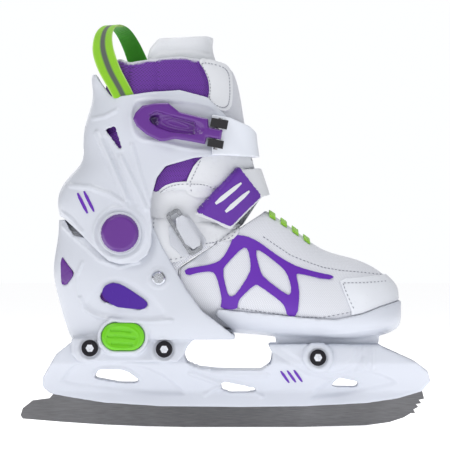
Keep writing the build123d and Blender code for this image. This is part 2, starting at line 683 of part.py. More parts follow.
# ---- Pivot pins and their caps ----
with BuildPart() as cuff_pivot_pins:
    with BuildSketch(Plane.XZ.offset(-pin_inner - pin_reach)):
        with Locations(pivot):
            Circle(pin_radius)
    extrude(amount=pin_reach)
    mirror(about=Plane.XZ)
save(cuff_pivot_pins.part, "cuff_pivot_pins")

cap_bore = rod(pivot, pin_radius + pin_fit, 0, pin_inner + pin_reach)
with BuildPart() as pivot_caps:
    with BuildSketch(Plane.XZ.offset(-cap_seat)):
        with Locations(pivot):
            Circle(cap_ring)
    extrude(amount=-cap_rim)
    with BuildSketch(Plane.XZ.offset(-cap_seat - cap_rim)):
        with Locations(pivot):
            Circle(cap_radius)
    extrude(amount=-(cap_height - cap_rim), taper=cap_taper)
    add(cap_bore, mode=Mode.SUBTRACT)
    mirror(about=Plane.XZ)
save(pivot_caps.part, "pivot_caps")

# ---- Pull loop: an arch of webbing over the back of the collar ----
loop_rise = math.dist(loop_base, loop_top)
loop_up = ((loop_top[0] - loop_base[0]) / loop_rise, (loop_top[1] - loop_base[1]) / loop_rise)
loop_plane = Plane(origin=(loop_base[0], 0, loop_base[1]), x_dir=(0, 1, 0), z_dir=(loop_up[1], 0, -loop_up[0]))
with BuildPart() as pull_loop:
    with BuildSketch(loop_plane.offset(-webbing_width / 2)):
        Ellipse(loop_half_width, loop_rise)
        Ellipse(loop_half_width - loop_thickness, loop_rise - loop_thickness, mode=Mode.SUBTRACT)
        with Locations((0, -math.copysign(FAR / 2, (loop_plane.y_dir.Z)))):
            Rectangle(FAR, FAR, mode=Mode.SUBTRACT)
    extrude(amount=webbing_width)
save(pull_loop.part, "pull_loop")

# ---- Instep strap, its ring and tab ----
wrap_inner = level_loft(upper_rows[3:9], instep_gap)
wrap_outer = level_loft([(upper_rows[3][0] + 1, *upper_rows[3][1:])] + upper_rows[4:8]
                        + [(upper_rows[8][0] - 1, *upper_rows[8][1:])], instep_gap + instep_thickness)
vamp_way = side_prism([(x - 0.2, z) for x, z in split_line[0:3]] + [(60, 160), (60, 60)], -FAR, FAR)
outer_band = side_prism(instep_side, -FAR, 0)
inner_band = side_prism(instep_inner_side, 0, FAR)
with BuildPart() as instep_strap:
    add(outer_band)
    add(inner_band)
    add(wrap_outer, mode=Mode.INTERSECT)
    add(wrap_inner, mode=Mode.SUBTRACT)
    add(vamp_way, mode=Mode.SUBTRACT)
save(instep_strap.part, "instep_strap")

tab_side = side_prism(ring_tab_outline, -FAR, 0)
tab_inner = level_loft(upper_rows[3:7], tab_gap)
tab_outer = level_loft(upper_rows[3:7], tab_gap + tab_thickness)
with BuildPart() as ring_tab:
    add(tab_side)
    add(tab_outer, mode=Mode.INTERSECT)
    add(tab_inner, mode=Mode.SUBTRACT)
    add(outer_band, mode=Mode.SUBTRACT)
    add(vamp_way, mode=Mode.SUBTRACT)
save(ring_tab.part, "ring_tab")

with BuildPart() as strap_ring:
    with BuildSketch(Plane.XZ.offset(ring_out - ring_wire)):
        with Locations(Location((ring_centre[0], ring_centre[1], 0), (0, 0, ring_turn))):
            RectangleRounded(ring_length, ring_width, 3)
            RectangleRounded(ring_length - 4 * ring_wire, ring_width - 4 * ring_wire, ring_corner, mode=Mode.SUBTRACT)
    extrude(amount=2 * ring_wire)
save(strap_ring.part, "strap_ring")

# ---- Buckle strap, its bracket, pin, lever and rivet ----
band_inner = level_loft(cuff_rows[4:10], strap_gap)
band_outer = level_loft([(cuff_rows[4][0] + 1, *cuff_rows[4][1:])] + cuff_rows[5:9]
                        + [(cuff_rows[9][0] - 1, *cuff_rows[9][1:])], strap_gap + strap_thickness)
band_front = side_prism(strap_profile, -FAR, FAR)
band_back = side_prism(strap_back_profile, 0, FAR)
with BuildPart() as buckle_strap:
    add(band_front)
    add(band_back)
    add(band_outer, mode=Mode.INTERSECT)
    add(band_inner, mode=Mode.SUBTRACT)
save(buckle_strap.part, "buckle_strap")

tilt = math.radians(hinge_tilt)
hinge_plane = Plane(origin=(hinge_point[0], -hinge_out, hinge_point[1]), x_dir=(math.cos(tilt), 0, -math.sin(tilt)),
                    z_dir=(math.sin(tilt), 0, math.cos(tilt)))
with BuildPart() as hinge_hole:
    with BuildSketch(hinge_plane.offset(-ear_reach)):
        Circle(hinge_pin_radius + pin_fit)
    extrude(amount=2 * ear_reach)
with BuildPart() as buckle_pin:
    with BuildSketch(hinge_plane.offset(-ear_reach)):
        Circle(hinge_pin_radius)
    extrude(amount=2 * ear_reach)
with BuildPart() as hinge_room:
    with BuildSketch(hinge_plane.offset(-ear_reach)):
        Circle(hinge_pin_radius + pin_clearance)
    extrude(amount=2 * ear_reach)

bracket_seat = level_loft(cuff_rows[5:9], strap_gap + strap_thickness + bracket_gap)
upper_ear = side_prism(ear_upper, -hinge_out - ear_lap, -ear_root)
lower_ear = side_prism(ear_lower, -hinge_out - ear_lap, -ear_root)
with BuildPart() as buckle_bracket:
    add(upper_ear)
    add(lower_ear)
    add(bracket_seat, mode=Mode.SUBTRACT)
    add(hinge_hole.part, mode=Mode.SUBTRACT)
save(buckle_bracket.part, "buckle_bracket")

save(buckle_pin.part, "buckle_pin")

lever_blank = side_prism(lever_outline, -lever_outer, -lever_inner)
finger_pocket = side_prism(finger_recess, -lever_outer, -lever_outer + recess_depth)
with BuildPart() as buckle_lever:
    add(lever_blank)
    chamfer(buckle_lever.faces().sort_by(Axis.Y)[0].edges(), lever_chamfer)
    add(finger_pocket, mode=Mode.SUBTRACT)
    add(hinge_room.part, mode=Mode.SUBTRACT)
save(buckle_lever.part, "buckle_lever")

with BuildPart() as strap_rivet:
    with BuildSketch(Plane.XZ.offset(-strap_rivet_root)):
        with Locations(strap_rivet_centre):
            Circle(strap_rivet_radius)
    extrude(amount=-strap_rivet_length)
    add(bracket_seat, mode=Mode.SUBTRACT)
save(strap_rivet.part, "strap_rivet")
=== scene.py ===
import bpy
import math
import numpy as np
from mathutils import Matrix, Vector
from mathutils.bvhtree import BVHTree


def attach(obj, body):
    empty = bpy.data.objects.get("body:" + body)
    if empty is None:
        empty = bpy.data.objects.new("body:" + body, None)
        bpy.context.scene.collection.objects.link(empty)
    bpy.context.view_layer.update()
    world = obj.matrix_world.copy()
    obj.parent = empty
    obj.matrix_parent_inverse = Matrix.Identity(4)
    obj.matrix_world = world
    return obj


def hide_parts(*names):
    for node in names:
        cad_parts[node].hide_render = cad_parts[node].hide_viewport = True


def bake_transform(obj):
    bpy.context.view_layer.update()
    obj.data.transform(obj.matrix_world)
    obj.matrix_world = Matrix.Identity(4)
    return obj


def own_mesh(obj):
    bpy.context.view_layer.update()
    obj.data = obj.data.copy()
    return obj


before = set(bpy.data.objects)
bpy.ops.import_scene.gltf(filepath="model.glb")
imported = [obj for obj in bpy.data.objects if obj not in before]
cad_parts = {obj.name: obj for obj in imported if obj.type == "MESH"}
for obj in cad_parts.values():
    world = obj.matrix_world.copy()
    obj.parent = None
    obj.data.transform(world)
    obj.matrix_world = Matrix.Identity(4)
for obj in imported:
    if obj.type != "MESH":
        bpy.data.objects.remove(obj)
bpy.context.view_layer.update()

MM = 0.001
OUTER = -1               # the buckle side of the skate lies at -Y
INNER = 1
CLEAR = 0.065            # rays at the skin start this far out from the middle plane
OWN_SIDE = 0.002         # skin nearer the middle plane than this counts as a miss
LEG_X = -0.05            # middle of the leg, front to back
PIVOT = (-71.3, 135.7)   # side view, in mm
BOLTS = ((-92.5, 56.1), (-41.1, 55.3), (65.3, 49.6))
SOCKET_REACH = 3.1       # the bolts' sockets are bright inside this radius, in mm


# ---------------------------------------------------------------- camera, light and floor

def set_stage():
    """White sweep, soft light from above and both sides, and a camera square to the outer side."""
    camera_data = bpy.data.cameras.new("camera")
    camera = bpy.data.objects.new("camera", camera_data)
    bpy.context.scene.collection.objects.link(camera)
    view_width, distance = 0.315, 2.4
    camera.location = (0.001, -distance, 0.1413)
    camera.rotation_euler = (math.pi / 2, 0, 0)
    camera_data.sensor_width = 36
    camera_data.lens = 36 * distance / view_width
    camera_data.clip_end = 50
    bpy.context.scene.camera = camera
    lights = (("key", (-0.75, -1.1, 1.35), 0.55, 9.5, (1, 0.99, 0.97)),
              ("fill", (1.3, -1.2, 0.7), 0.9, 4.0, (0.93, 0.96, 1)),
              ("top", (0.1, 0.1, 1.6), 0.7, 7.0, (1, 1, 1)),
              ("back", (-0.3, 1.5, 0.9), 1.2, 6.0, (1, 1, 1)))
    for name, place, size, power, colour in lights:
        data = bpy.data.lights.new(name, "AREA")
        data.size, data.energy, data.color = size, power, colour
        lamp = bpy.data.objects.new(name, data)
        bpy.context.scene.collection.objects.link(lamp)
        lamp.location = place
        aim = Vector((0, 0, 0.13)) - Vector(place)
        lamp.rotation_euler = aim.to_track_quat("-Z", "Y").to_euler()
    world = bpy.data.worlds.new("studio")
    bpy.context.scene.world = world
    world.use_nodes = True
    tree = world.node_tree
    tree.nodes["Background"].inputs["Color"].default_value = (0.97, 0.98, 1, 1)
    seen, strength = tree.nodes.new("ShaderNodeLightPath"), tree.nodes.new("ShaderNodeMapRange")
    strength.inputs["To Min"].default_value, strength.inputs["To Max"].default_value = 0.3, 1.02
    tree.links.new(seen.outputs["Is Camera Ray"], strength.inputs["Value"])
    tree.links.new(strength.outputs["Result"], tree.nodes["Background"].inputs["Strength"])
    bpy.context.scene.view_settings.view_transform = "Standard"
    bpy.ops.mesh.primitive_plane_add(size=12, location=(0, 0, -0.0004))
    floor = bpy.context.object
    floor.name = "floor"
    floor.data.materials.append(paper("floor_paper"))


# ---------------------------------------------------------------- materials

class Finish:
    """A material under construction: its tree, its shader and the object coordinates."""

    def __init__(self, name, colour, roughness, **sockets):
        self.material = bpy.data.materials.new(name)
        self.material.use_nodes = True
        self.tree = self.material.node_tree
        self.shader = self.tree.nodes["Principled BSDF"]
        self.shader.inputs["Base Color"].default_value = (*colour, 1)
        self.shader.inputs["Roughness"].default_value = roughness
        for socket, value in sockets.items():
            self.shader.inputs[socket.replace("_", " ")].default_value = value
        self.place = self.add("ShaderNodeTexCoord").outputs["Object"]
        self.material.diffuse_color = (*colour, 1)

    def add(self, kind, **values):
        node = self.tree.nodes.new(kind)
        for key, value in values.items():
            setattr(node, key, value)
        return node

    def join(self, out, into):
        self.tree.links.new(out, into)

    def stretched(self, scale):
        """Object coordinates scaled along each axis."""
        mapping = self.add("ShaderNodeMapping")
        mapping.inputs["Scale"].default_value = scale
        self.join(self.place, mapping.inputs["Vector"])
        return mapping.outputs["Vector"]

    def noise(self, scale, detail=3.0, where=None):
        node = self.add("ShaderNodeTexNoise")
        node.inputs["Scale"].default_value = scale
        node.inputs["Detail"].default_value = detail
        self.join(where or self.place, node.inputs["Vector"])
        return node.outputs["Fac"]

    def cells(self, scale):
        node = self.add("ShaderNodeTexVoronoi", feature="F1")
        node.inputs["Scale"].default_value = scale
        self.join(self.place, node.inputs["Vector"])
        return node.outputs["Distance"]

    def sums(self, kind, first, second=None):
        node = self.add("ShaderNodeMath", operation=kind)
        for number, value in enumerate((first, second)):
            if value is None:
                continue
            if isinstance(value, (int, float)):
                node.inputs[number].default_value = value
            else:
                self.join(value, node.inputs[number])
        return node.outputs["Value"]

    def axes(self):
        node = self.add("ShaderNodeSeparateXYZ")
        self.join(self.place, node.inputs["Vector"])
        return node.outputs

    def wave(self, coordinate, pitch):
        """Sine along a coordinate, one turn for each pitch, from -1 to 1."""
        return self.sums("SINE", self.sums("MULTIPLY", coordinate, 2 * math.pi / pitch))

    def ramp(self, value, stops):
        node = self.add("ShaderNodeValToRGB")
        bar = node.color_ramp
        while len(bar.elements) < len(stops):
            bar.elements.new(1)
        for element, (position, colour) in zip(bar.elements, stops):
            element.position = position
            element.color = (*colour, 1)
        self.join(value, node.inputs["Fac"])
        return node.outputs["Color"]

    def colour(self, output):
        self.join(output, self.shader.inputs["Base Color"])

    def rough(self, value, low, high):
        node = self.add("ShaderNodeMapRange")
        node.inputs["To Min"].default_value = low
        node.inputs["To Max"].default_value = high
        self.join(value, node.inputs["Value"])
        self.join(node.outputs["Result"], self.shader.inputs["Roughness"])

    def bump(self, height, depth, strength=1.0, over=None):
        node = self.add("ShaderNodeBump")
        node.inputs["Strength"].default_value = strength
        node.inputs["Distance"].default_value = depth
        self.join(height, node.inputs["Height"])
        if over is not None:
            self.join(over, node.inputs["Normal"])
        self.join(node.outputs["Normal"], self.shader.inputs["Normal"])
        return node.outputs["Normal"]


def shade(colour, factor):
    return tuple(min(1.0, channel * factor) for channel in colour)


def paper(name):
    finish = Finish(name, (0.93, 0.93, 0.94), 0.85)
    finish.shader.inputs["Emission Color"].default_value = (1, 1, 1, 1)
    finish.shader.inputs["Emission Strength"].default_value = 0.7
    finish.bump(finish.noise(60), 0.0002, 0.2)
    return finish.material


def moulded(name, colour, roughness=0.32, coat=0.15, marks=()):
    """Injection-moulded plastic: faint flow in the colour and a very fine spark-eroded grain."""
    finish = Finish(name, colour, roughness, Coat_Weight=coat, Coat_Roughness=0.2)
    flow = finish.noise(14, 2)
    finish.colour(finish.ramp(flow, [(0.3, shade(colour, 0.955)), (0.7, shade(colour, 1.02))]))
    for attribute, second in marks:
        striped(finish, attribute, second)
    finish.rough(finish.noise(90, 4), roughness - 0.05, roughness + 0.08)
    grain = finish.bump(finish.noise(2600, 1), 0.00003, 0.25)
    finish.bump(finish.noise(38, 2), 0.0005, 0.12, over=grain)
    return finish.material


def coated_leather(name, colour, roughness=0.48):
    """Smooth coated synthetic leather with a pebbled grain and soft creases."""
    finish = Finish(name, colour, roughness, Sheen_Weight=0.12, Sheen_Roughness=0.5)
    cloud = finish.noise(22, 3)
    finish.colour(finish.ramp(cloud, [(0.3, shade(colour, 0.93)), (0.72, shade(colour, 1.02))]))
    finish.rough(finish.noise(300, 3), roughness - 0.08, roughness + 0.1)
    grain = finish.bump(finish.cells(1150), 0.00011, 0.5)
    finish.bump(finish.noise(70, 3), 0.0006, 0.25, over=grain)
    return finish.material


def knitted(name, colour, pitch=0.0016, depth=0.00035, low=0.42, marks=(), sheen=0.3):
    """Open knitted mesh: rows of small eyelets, staggered from row to row."""
    finish = Finish(name, colour, 0.7, Sheen_Weight=sheen, Sheen_Roughness=0.4)
    x, y, z = finish.axes()
    along = finish.sums("ADD", x, finish.sums("MULTIPLY", y, 0.8))
    rows = finish.wave(z, pitch)
    half = finish.wave(along, pitch * 1.1)
    shifted = finish.wave(finish.sums("ADD", along, finish.sums("MULTIPLY", z, 0.5)), pitch * 1.1)
    eyelet = finish.sums("MULTIPLY", rows, half)
    mixed = finish.sums("ADD", eyelet, finish.sums("MULTIPLY", shifted, 0.35))
    level = finish.sums("ADD", finish.sums("MULTIPLY", mixed, 0.4), 0.5)
    finish.colour(finish.ramp(level, [(0.12, shade(colour, low)), (0.45, colour), (0.9, shade(colour, 1.25))]))
    for attribute, second in marks:
        striped(finish, attribute, second)
    fuzz = finish.bump(finish.noise(1500, 2), 0.00008, 0.4)
    finish.bump(level, depth, 0.8, over=fuzz)
    return finish.material


def webbing(name, colour, pitch=0.0011):
    """Woven tape: fine ribs across it, with a slight twill."""
    finish = Finish(name, colour, 0.62, Sheen_Weight=0.25, Sheen_Roughness=0.35)
    x, y, z = finish.axes()
    slope = finish.sums("ADD", finish.sums("ADD", x, z), finish.sums("MULTIPLY", y, 0.6))
    back = finish.sums("SUBTRACT", x, z)
    weave = finish.sums("MULTIPLY", finish.wave(slope, pitch), finish.wave(back, pitch))
    level = finish.sums("ADD", finish.sums("MULTIPLY", weave, 0.5), 0.5)
    finish.colour(finish.ramp(level, [(0.1, shade(colour, 0.62)), (0.6, colour), (1, shade(colour, 1.2))]))
    fuzz = finish.bump(finish.noise(2200, 2), 0.00006, 0.4)
    finish.bump(level, 0.00025, 0.8, over=fuzz)
    return finish.material


def ground_steel(name, colour, roughness):
    """Blade steel: long grinding lines, light handling marks, and a painted reflection that makes the colour
    brighter towards both ends of the blade than in the middle.
    """
    finish = Finish(name, colour, roughness, Metallic=1.0, Anisotropic=0.5)
    lines = finish.noise(8, 6, finish.stretched((14, 300, 420)))
    patches = finish.noise(26, 3)
    mixed = finish.sums("ADD", finish.sums("MULTIPLY", lines, 0.7), finish.sums("MULTIPLY", patches, 0.3))
    along = finish.axes()[0]
    # painted reflection: the colour rises towards both ends of the blade, standing in for the lamps' reflection
    # along the steel
    end = finish.sums("MULTIPLY", finish.sums("ADD", finish.sums("ABSOLUTE", along), -0.02), 1.1)
    mixed = finish.sums("ADD", mixed, end)
    finish.colour(finish.ramp(mixed, [(0.32, shade(colour, 0.6)), (0.5, shade(colour, 0.9)),
                                      (0.72, shade(colour, 1.3))]))
    finish.rough(lines, roughness - 0.06, roughness + 0.22)
    finish.bump(lines, 0.00006, 0.5)
    return finish.material


def plated(name, colour, roughness=0.14):
    """Plated or oxidised steel with faint smears."""
    finish = Finish(name, colour, roughness, Metallic=1.0)
    smear = finish.noise(240, 4)
    finish.colour(finish.ramp(smear, [(0.3, shade(colour, 0.85)), (0.7, shade(colour, 1.12))]))
    finish.rough(finish.noise(420, 4), max(0.03, roughness - 0.06), roughness + 0.1)
    finish.bump(smear, 0.00004, 0.3)
    return finish.material


# ---------------------------------------------------------------- mesh helpers

def only(obj):
    if bpy.context.object and bpy.context.object.mode != "OBJECT":
        bpy.ops.object.mode_set(mode="OBJECT")
    bpy.ops.object.select_all(action="DESELECT")
    obj.select_set(True)
    bpy.context.view_layer.objects.active = obj


def apply_all(obj):
    only(obj)
    for modifier in list(obj.modifiers):
        bpy.ops.object.modifier_apply(modifier=modifier.name)


def smooth(obj, degrees=40):
    only(obj)
    bpy.ops.object.shade_smooth_by_angle(angle=math.radians(degrees))


def copy_node(name, node):
    """A merged copy of a CAD node's mesh, as a piece of its own."""
    obj = bpy.data.objects.new(name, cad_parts[node].data.copy())
    bpy.context.scene.collection.objects.link(obj)
    obj.data.materials.clear()
    only(obj)
    bpy.ops.object.mode_set(mode="EDIT")
    bpy.ops.mesh.select_all(action="SELECT")
    bpy.ops.mesh.remove_doubles(threshold=0.00001)
    bpy.ops.mesh.normals_make_consistent(inside=False)
    bpy.ops.object.mode_set(mode="OBJECT")
    return obj


def remesh(obj, voxel, rounds=2):
    """Even small quads all over, with the corners eased."""
    modifier = obj.modifiers.new("remesh", "REMESH")
    modifier.mode, modifier.voxel_size, modifier.use_smooth_shade = "VOXEL", voxel, True
    modifier.adaptivity = 0
    ease = obj.modifiers.new("ease", "SMOOTH")
    ease.factor, ease.iterations = 0.5, rounds
    apply_all(obj)


def points_of(obj):
    co = np.empty(len(obj.data.vertices) * 3)
    obj.data.vertices.foreach_get("co", co)
    return co.reshape(-1, 3)


def set_points(obj, points):
    obj.data.vertices.foreach_set("co", points.ravel())
    obj.data.update()


def normals_of(obj):
    values = np.empty(len(obj.data.vertices) * 3)
    obj.data.vertex_normals.foreach_get("vector", values)
    return values.reshape(-1, 3)


def ramped(value, low, high):
    """0 below low, 1 above high, an even curve between."""
    t = np.clip((value - low) / (high - low), 0, 1)
    return t * t * (3 - 2 * t)


def edge_distance(points, line, closed=True):
    """Distance in the XZ plane from each point to a line of corners, in mm."""
    corners = np.array(line, float)
    ends = np.roll(corners, -1, 0) if closed else corners[1:]
    starts = corners if closed else corners[:-1]
    best = np.full(len(points), 1e9)
    for start, end in zip(starts, ends):
        span = end - start
        t = np.clip(((points - start) @ span) / max(span @ span, 1e-9), 0, 1)
        best = np.minimum(best, np.linalg.norm(points - start - t[:, None] * span, axis=1))
    return best


def inside(points, line):
    corners = np.array(line, float)
    hit = np.zeros(len(points), bool)
    for (ax, az), (bx, bz) in zip(corners, np.roll(corners, -1, 0)):
        if az == bz:
            continue
        crosses = ((az > points[:, 1]) != (bz > points[:, 1]))
        hit ^= crosses & (points[:, 0] < (bx - ax) * (points[:, 1] - az) / (bz - az) + ax)
    return hit


def rounded(line, turns=2):
    """The closed outline with its corners cut back again and again into curves."""
    corners = np.array(line, float)
    for _ in range(turns):
        ahead = np.roll(corners, -1, 0)
        corners = np.stack([corners * 0.75 + ahead * 0.25, corners * 0.25 + ahead * 0.75], 1).reshape(-1, 2)
    return corners


def shrunk(line, share):
    """An outline drawn in towards its middle."""
    corners = np.array(line, float)
    middle = corners.mean(0)
    return [tuple(corner) for corner in middle + (corners - middle) * share]


def mark(obj, name, values):
    """A number for each vertex, which a finish can read."""
    attribute = obj.data.attributes.new(name, "FLOAT", "POINT")
    attribute.data.foreach_set("value", values.astype(np.float32))


def mould(obj, features):
    """Raises or sinks the skin of a moulded piece. Each feature is a kind, its line, its height in mm and its width,
    and side 0 means both sides. Only skin facing mostly sideways moves."""
    points, normals = points_of(obj), normals_of(obj)
    flat = points[:, [0, 2]] / MM
    facing = ramped(np.abs(normals[:, 1]), 0.25, 0.6)
    outward = (normals[:, 1] * points[:, 1] > 0)
    lift = np.zeros(len(points))
    for kind, line, height, width, side in features:
        if kind == "field":
            line = rounded(line)
            reach = edge_distance(flat, line)
            depth = np.where(inside(flat, line), ramped(reach, 0, width), 0)
        elif kind == "ridge":
            depth = 1 - ramped(edge_distance(flat, line, closed=False), width * 0.25, width * 0.5)
        elif kind == "rim":
            depth = 1 - ramped(edge_distance(flat, rounded(line)), width * 0.2, width * 0.5)
        else:
            reach = np.linalg.norm(flat - np.array(line), axis=1)
            depth = 1 - ramped(np.abs(reach - kind), width * 0.2, width * 0.5)
        if side:
            depth = depth * (points[:, 1] * side > 0)
        lift += height * depth
    points += normals * (lift * facing * outward * MM)[:, None]
    set_points(obj, points)


def skin_of(*objects):
    """Ray target made of whole pieces, for laying a panel on them."""
    vertices, faces = [], []
    for obj in objects:
        first = len(vertices)
        vertices += [v.co.copy() for v in obj.data.vertices]
        faces += [[first + v for v in p.vertices] for p in obj.data.polygons]
    return BVHTree.FromPolygons(vertices, faces)


def lay(name, outline, tree, side, lift, thickness, step=1.5, turns=2, ease=3, holes=()):
    """A panel cut to an outline in the side view and laid on the skin below it.

    The outline is filled flat beside the skate, cut into a fine grid, dropped on the skin along Y and thickened."""
    vertices, edges = [], []
    for line in (rounded(outline, turns), *(rounded(hole, turns) for hole in holes)):
        first, count = len(vertices), len(line)
        vertices += [(x * MM, side * CLEAR, z * MM) for x, z in line]
        edges += [(first + i, first + (i + 1) % count) for i in range(count)]
    mesh = bpy.data.meshes.new(name)
    mesh.from_pydata(vertices, edges, [])
    obj = bpy.data.objects.new(name, mesh)
    bpy.context.scene.collection.objects.link(obj)
    only(obj)
    bpy.ops.object.mode_set(mode="EDIT")
    bpy.ops.mesh.select_all(action="SELECT")
    bpy.ops.mesh.fill(use_beauty=True)
    flat = np.array(vertices)
    for axis, normal in ((0, (1, 0, 0)), (2, (0, 0, 1))):
        for cut in np.arange(flat[:, axis].min() + step * MM, flat[:, axis].max(), step * MM):
            bpy.ops.mesh.select_all(action="SELECT")
            bpy.ops.mesh.bisect(plane_co=[cut if i == axis else 0 for i in range(3)], plane_no=normal)
    bpy.ops.object.mode_set(mode="OBJECT")
    placed = points_of(obj)
    for index, (x, y, z) in enumerate(placed):
        hit = tree.ray_cast(Vector((x, y, z)), Vector((0, -side, 0)))
        if hit[0] is None or hit[0].y * side < OWN_SIDE:
            hit = tree.find_nearest(Vector((x, side * 0.02, z)))
        placed[index] = hit[0]
    set_points(obj, placed)
    soften = obj.modifiers.new("ease", "SMOOTH")
    soften.factor, soften.iterations, soften.use_x, soften.use_z = 0.5, ease, False, False
    apply_all(obj)
    only(obj)
    bpy.ops.object.mode_set(mode="EDIT")
    bpy.ops.mesh.select_all(action="SELECT")
    bpy.ops.mesh.normals_make_consistent(inside=False)
    bpy.ops.object.mode_set(mode="OBJECT")
    if normals_of(obj)[:, 1].mean() * side < 0:
        obj.data.flip_normals()
    points, normals = points_of(obj), normals_of(obj)
    set_points(obj, points + normals * (lift * MM))
    solid = obj.modifiers.new("thick", "SOLIDIFY")
    solid.thickness, solid.offset = thickness * MM, 1.0
    soft = obj.modifiers.new("edge", "BEVEL")
    soft.width, soft.segments, soft.limit_method = min(0.35, thickness * 0.35) * MM, 2, "ANGLE"
    soft.angle_limit = math.radians(50)
    apply_all(obj)
    smooth(obj, 50)
    return obj


def hull_of(name, *objects, low=-1.0, high=1.0):
    """Closed convex skin round the parts of some pieces that lie between two heights."""
    mesh = bpy.data.meshes.new(name)
    spots = np.concatenate([points_of(obj) for obj in objects])
    spots = spots[(spots[:, 2] > low) & (spots[:, 2] < high)]
    mesh.from_pydata([tuple(p) for p in spots[::5]], [], [])
    obj = bpy.data.objects.new(name, mesh)
    bpy.context.scene.collection.objects.link(obj)
    only(obj)
    bpy.ops.object.mode_set(mode="EDIT")
    bpy.ops.mesh.select_all(action="SELECT")
    bpy.ops.mesh.convex_hull()
    bpy.ops.mesh.normals_make_consistent(inside=False)
    bpy.ops.object.mode_set(mode="OBJECT")
    return obj


def drop(obj):
    bpy.data.objects.remove(obj)


def paint(obj, *materials):
    obj.data.materials.clear()
    for material in materials:
        obj.data.materials.append(material)


def put(obj, body, node=None):
    """The piece's body and the CAD node that it stands for."""
    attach(obj, body)
    if node:
        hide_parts(node)


def put_soft(obj, node=None):
    """Soft goods across the ankle: the placement is baked into the mesh and the piece is left without a body; the
    CAD node that it stands for is hidden.
    """
    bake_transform(obj)
    if node:
        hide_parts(node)


def run_stitches(name, line, tree, side, material, pitch=2.6, closed=False):
    """Thread stitches one by one along a line in the side view, joined into one piece."""
    size, lift = 0.32 * MM, 0.15 * MM
    corners = [Vector((x, z)) for x, z in line]
    if closed:
        corners.append(corners[0])
    spots = []
    for start, end in zip(corners, corners[1:]):
        count = max(1, round((end - start).length / pitch))
        spots += [(start.lerp(end, (i + 0.5) / count), (end - start).normalized()) for i in range(count)]
    bpy.ops.mesh.primitive_uv_sphere_add(segments=6, ring_count=5, radius=1)
    seed = bpy.context.object
    local = points_of(seed)
    faces = [tuple(p.vertices) for p in seed.data.polygons]
    bpy.data.objects.remove(seed)
    vertices, polygons = [], []
    for spot, run in spots:
        found = []
        for offset in (-pitch * 0.3, 0, pitch * 0.3):
            at = spot + run * offset
            hit = tree.ray_cast(Vector((at.x * MM, side * CLEAR, at.y * MM)), Vector((0, -side, 0)))
            if hit[0] is None or hit[0].y * side < OWN_SIDE:
                break
            found.append(hit)
        if len(found) < 3:
            continue
        axis = (found[2][0] - found[0][0]).normalized()
        normal = found[1][1] if found[1][1].y * side > 0 else -found[1][1]
        width = axis.cross(normal).normalized()
        middle = found[1][0] + normal * lift
        first = len(vertices)
        for px, py, pz in local:
            vertices.append(middle + axis * px * pitch * 0.36 * MM + width * py * size + normal * pz * size)
        polygons += [[first + i for i in face] for face in faces]
    mesh = bpy.data.meshes.new(name)
    mesh.from_pydata(vertices, [], polygons)
    obj = bpy.data.objects.new(name, mesh)
    bpy.context.scene.collection.objects.link(obj)
    smooth(obj, 60)
    paint(obj, material)
    return obj


# ---------------------------------------------------------------- colours

def srgb(red, green, blue):
    """Display colour, 0 to 255, as linear light."""
    return tuple((c / 255 / 12.92) if c < 10.3 else ((c / 255 + 0.055) / 1.055) ** 2.4 for c in (red, green, blue))


def striped(finish, attribute, colour):
    """Lays a second colour over a finish wherever the attribute is 1. It carries real stripes, selvedges and piping,
    and also painted shade: the lever's hollow and the pull loop's far limb.
    """
    base = finish.shader.inputs["Base Color"]
    source = base.links[0].from_socket
    reader = finish.add("ShaderNodeAttribute", attribute_name=attribute)
    mix = finish.add("ShaderNodeMix", data_type="RGBA")
    mix.inputs["B"].default_value = (*colour, 1)
    finish.join(reader.outputs["Fac"], mix.inputs["Factor"])
    finish.join(source, mix.inputs["A"])
    finish.join(mix.outputs["Result"], base)


WHITE_PLASTIC = moulded("white_plastic", srgb(209, 213, 223), 0.36, 0.12)
STRAP_PLASTIC = moulded("strap_plastic", srgb(239, 243, 252), 0.34, 0.15)
PURPLE_PLASTIC = moulded("purple_plastic", srgb(96, 38, 138), 0.3, 0.3)
# the lever's second colour, dark purple, is painted shade laid in the spoon's hollow
LEVER_PLASTIC = moulded("lever_plastic", srgb(96, 38, 138), 0.3, 0.3, marks=(("hollow", srgb(44, 8, 78)),))
GREEN_PLASTIC = moulded("green_plastic", srgb(108, 202, 0), 0.4, 0.1)
BLACK_PLASTIC = moulded("black_plastic", srgb(28, 27, 31), 0.4, 0.1)
WHITE_LEATHER = coated_leather("white_leather", srgb(223, 225, 230))
GLOSS_LEATHER = coated_leather("toe_cap_leather", srgb(234, 237, 244), 0.3)
PALE_MESH = knitted("white_upper", srgb(212, 214, 221), 0.0019, 0.00016, 0.8)
FINE_MESH = knitted("vamp_textile", srgb(213, 215, 222), 0.0012, 0.00006, 0.93, sheen=0.1)
VIVID_PURPLE = moulded("window_inlay", srgb(66, 0, 146), 0.5, 0.0)
PURPLE_MESH = knitted("purple_mesh", srgb(98, 42, 148), 0.0017, 0.0003, 0.45)
LINER = knitted("grey_liner", srgb(184, 197, 194), 0.0013, 0.00015, 0.72, sheen=0.5)
PURPLE_FILM = moulded("purple_overlay", srgb(98, 28, 172), 0.5, 0.0)
PURPLE_PAD = coated_leather("purple_strap", srgb(92, 28, 156), 0.5)
WHITE_TAPE = webbing("white_webbing", srgb(220, 223, 232))
LACE_TAPE = webbing("white_laces", srgb(158, 222, 66), 0.0008)
THREAD = webbing("white_thread", srgb(158, 161, 174), 0.0005)
STEEL = ground_steel("blade_steel", srgb(113, 113, 115), 0.3)
BLACK_STEEL = plated("black_steel", srgb(48, 47, 51), 0.3)
ZINC = plated("zinc_steel", srgb(168, 168, 172), 0.25)
CHROME = plated("chrome_rivet", srgb(214, 217, 224), 0.1)


# ---------------------------------------------------------------- metal and small CAD parts kept as they are

def dress(node, material):
    """Finish for a CAD node that is kept as it is."""
    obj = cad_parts[node]
    paint(obj, material)


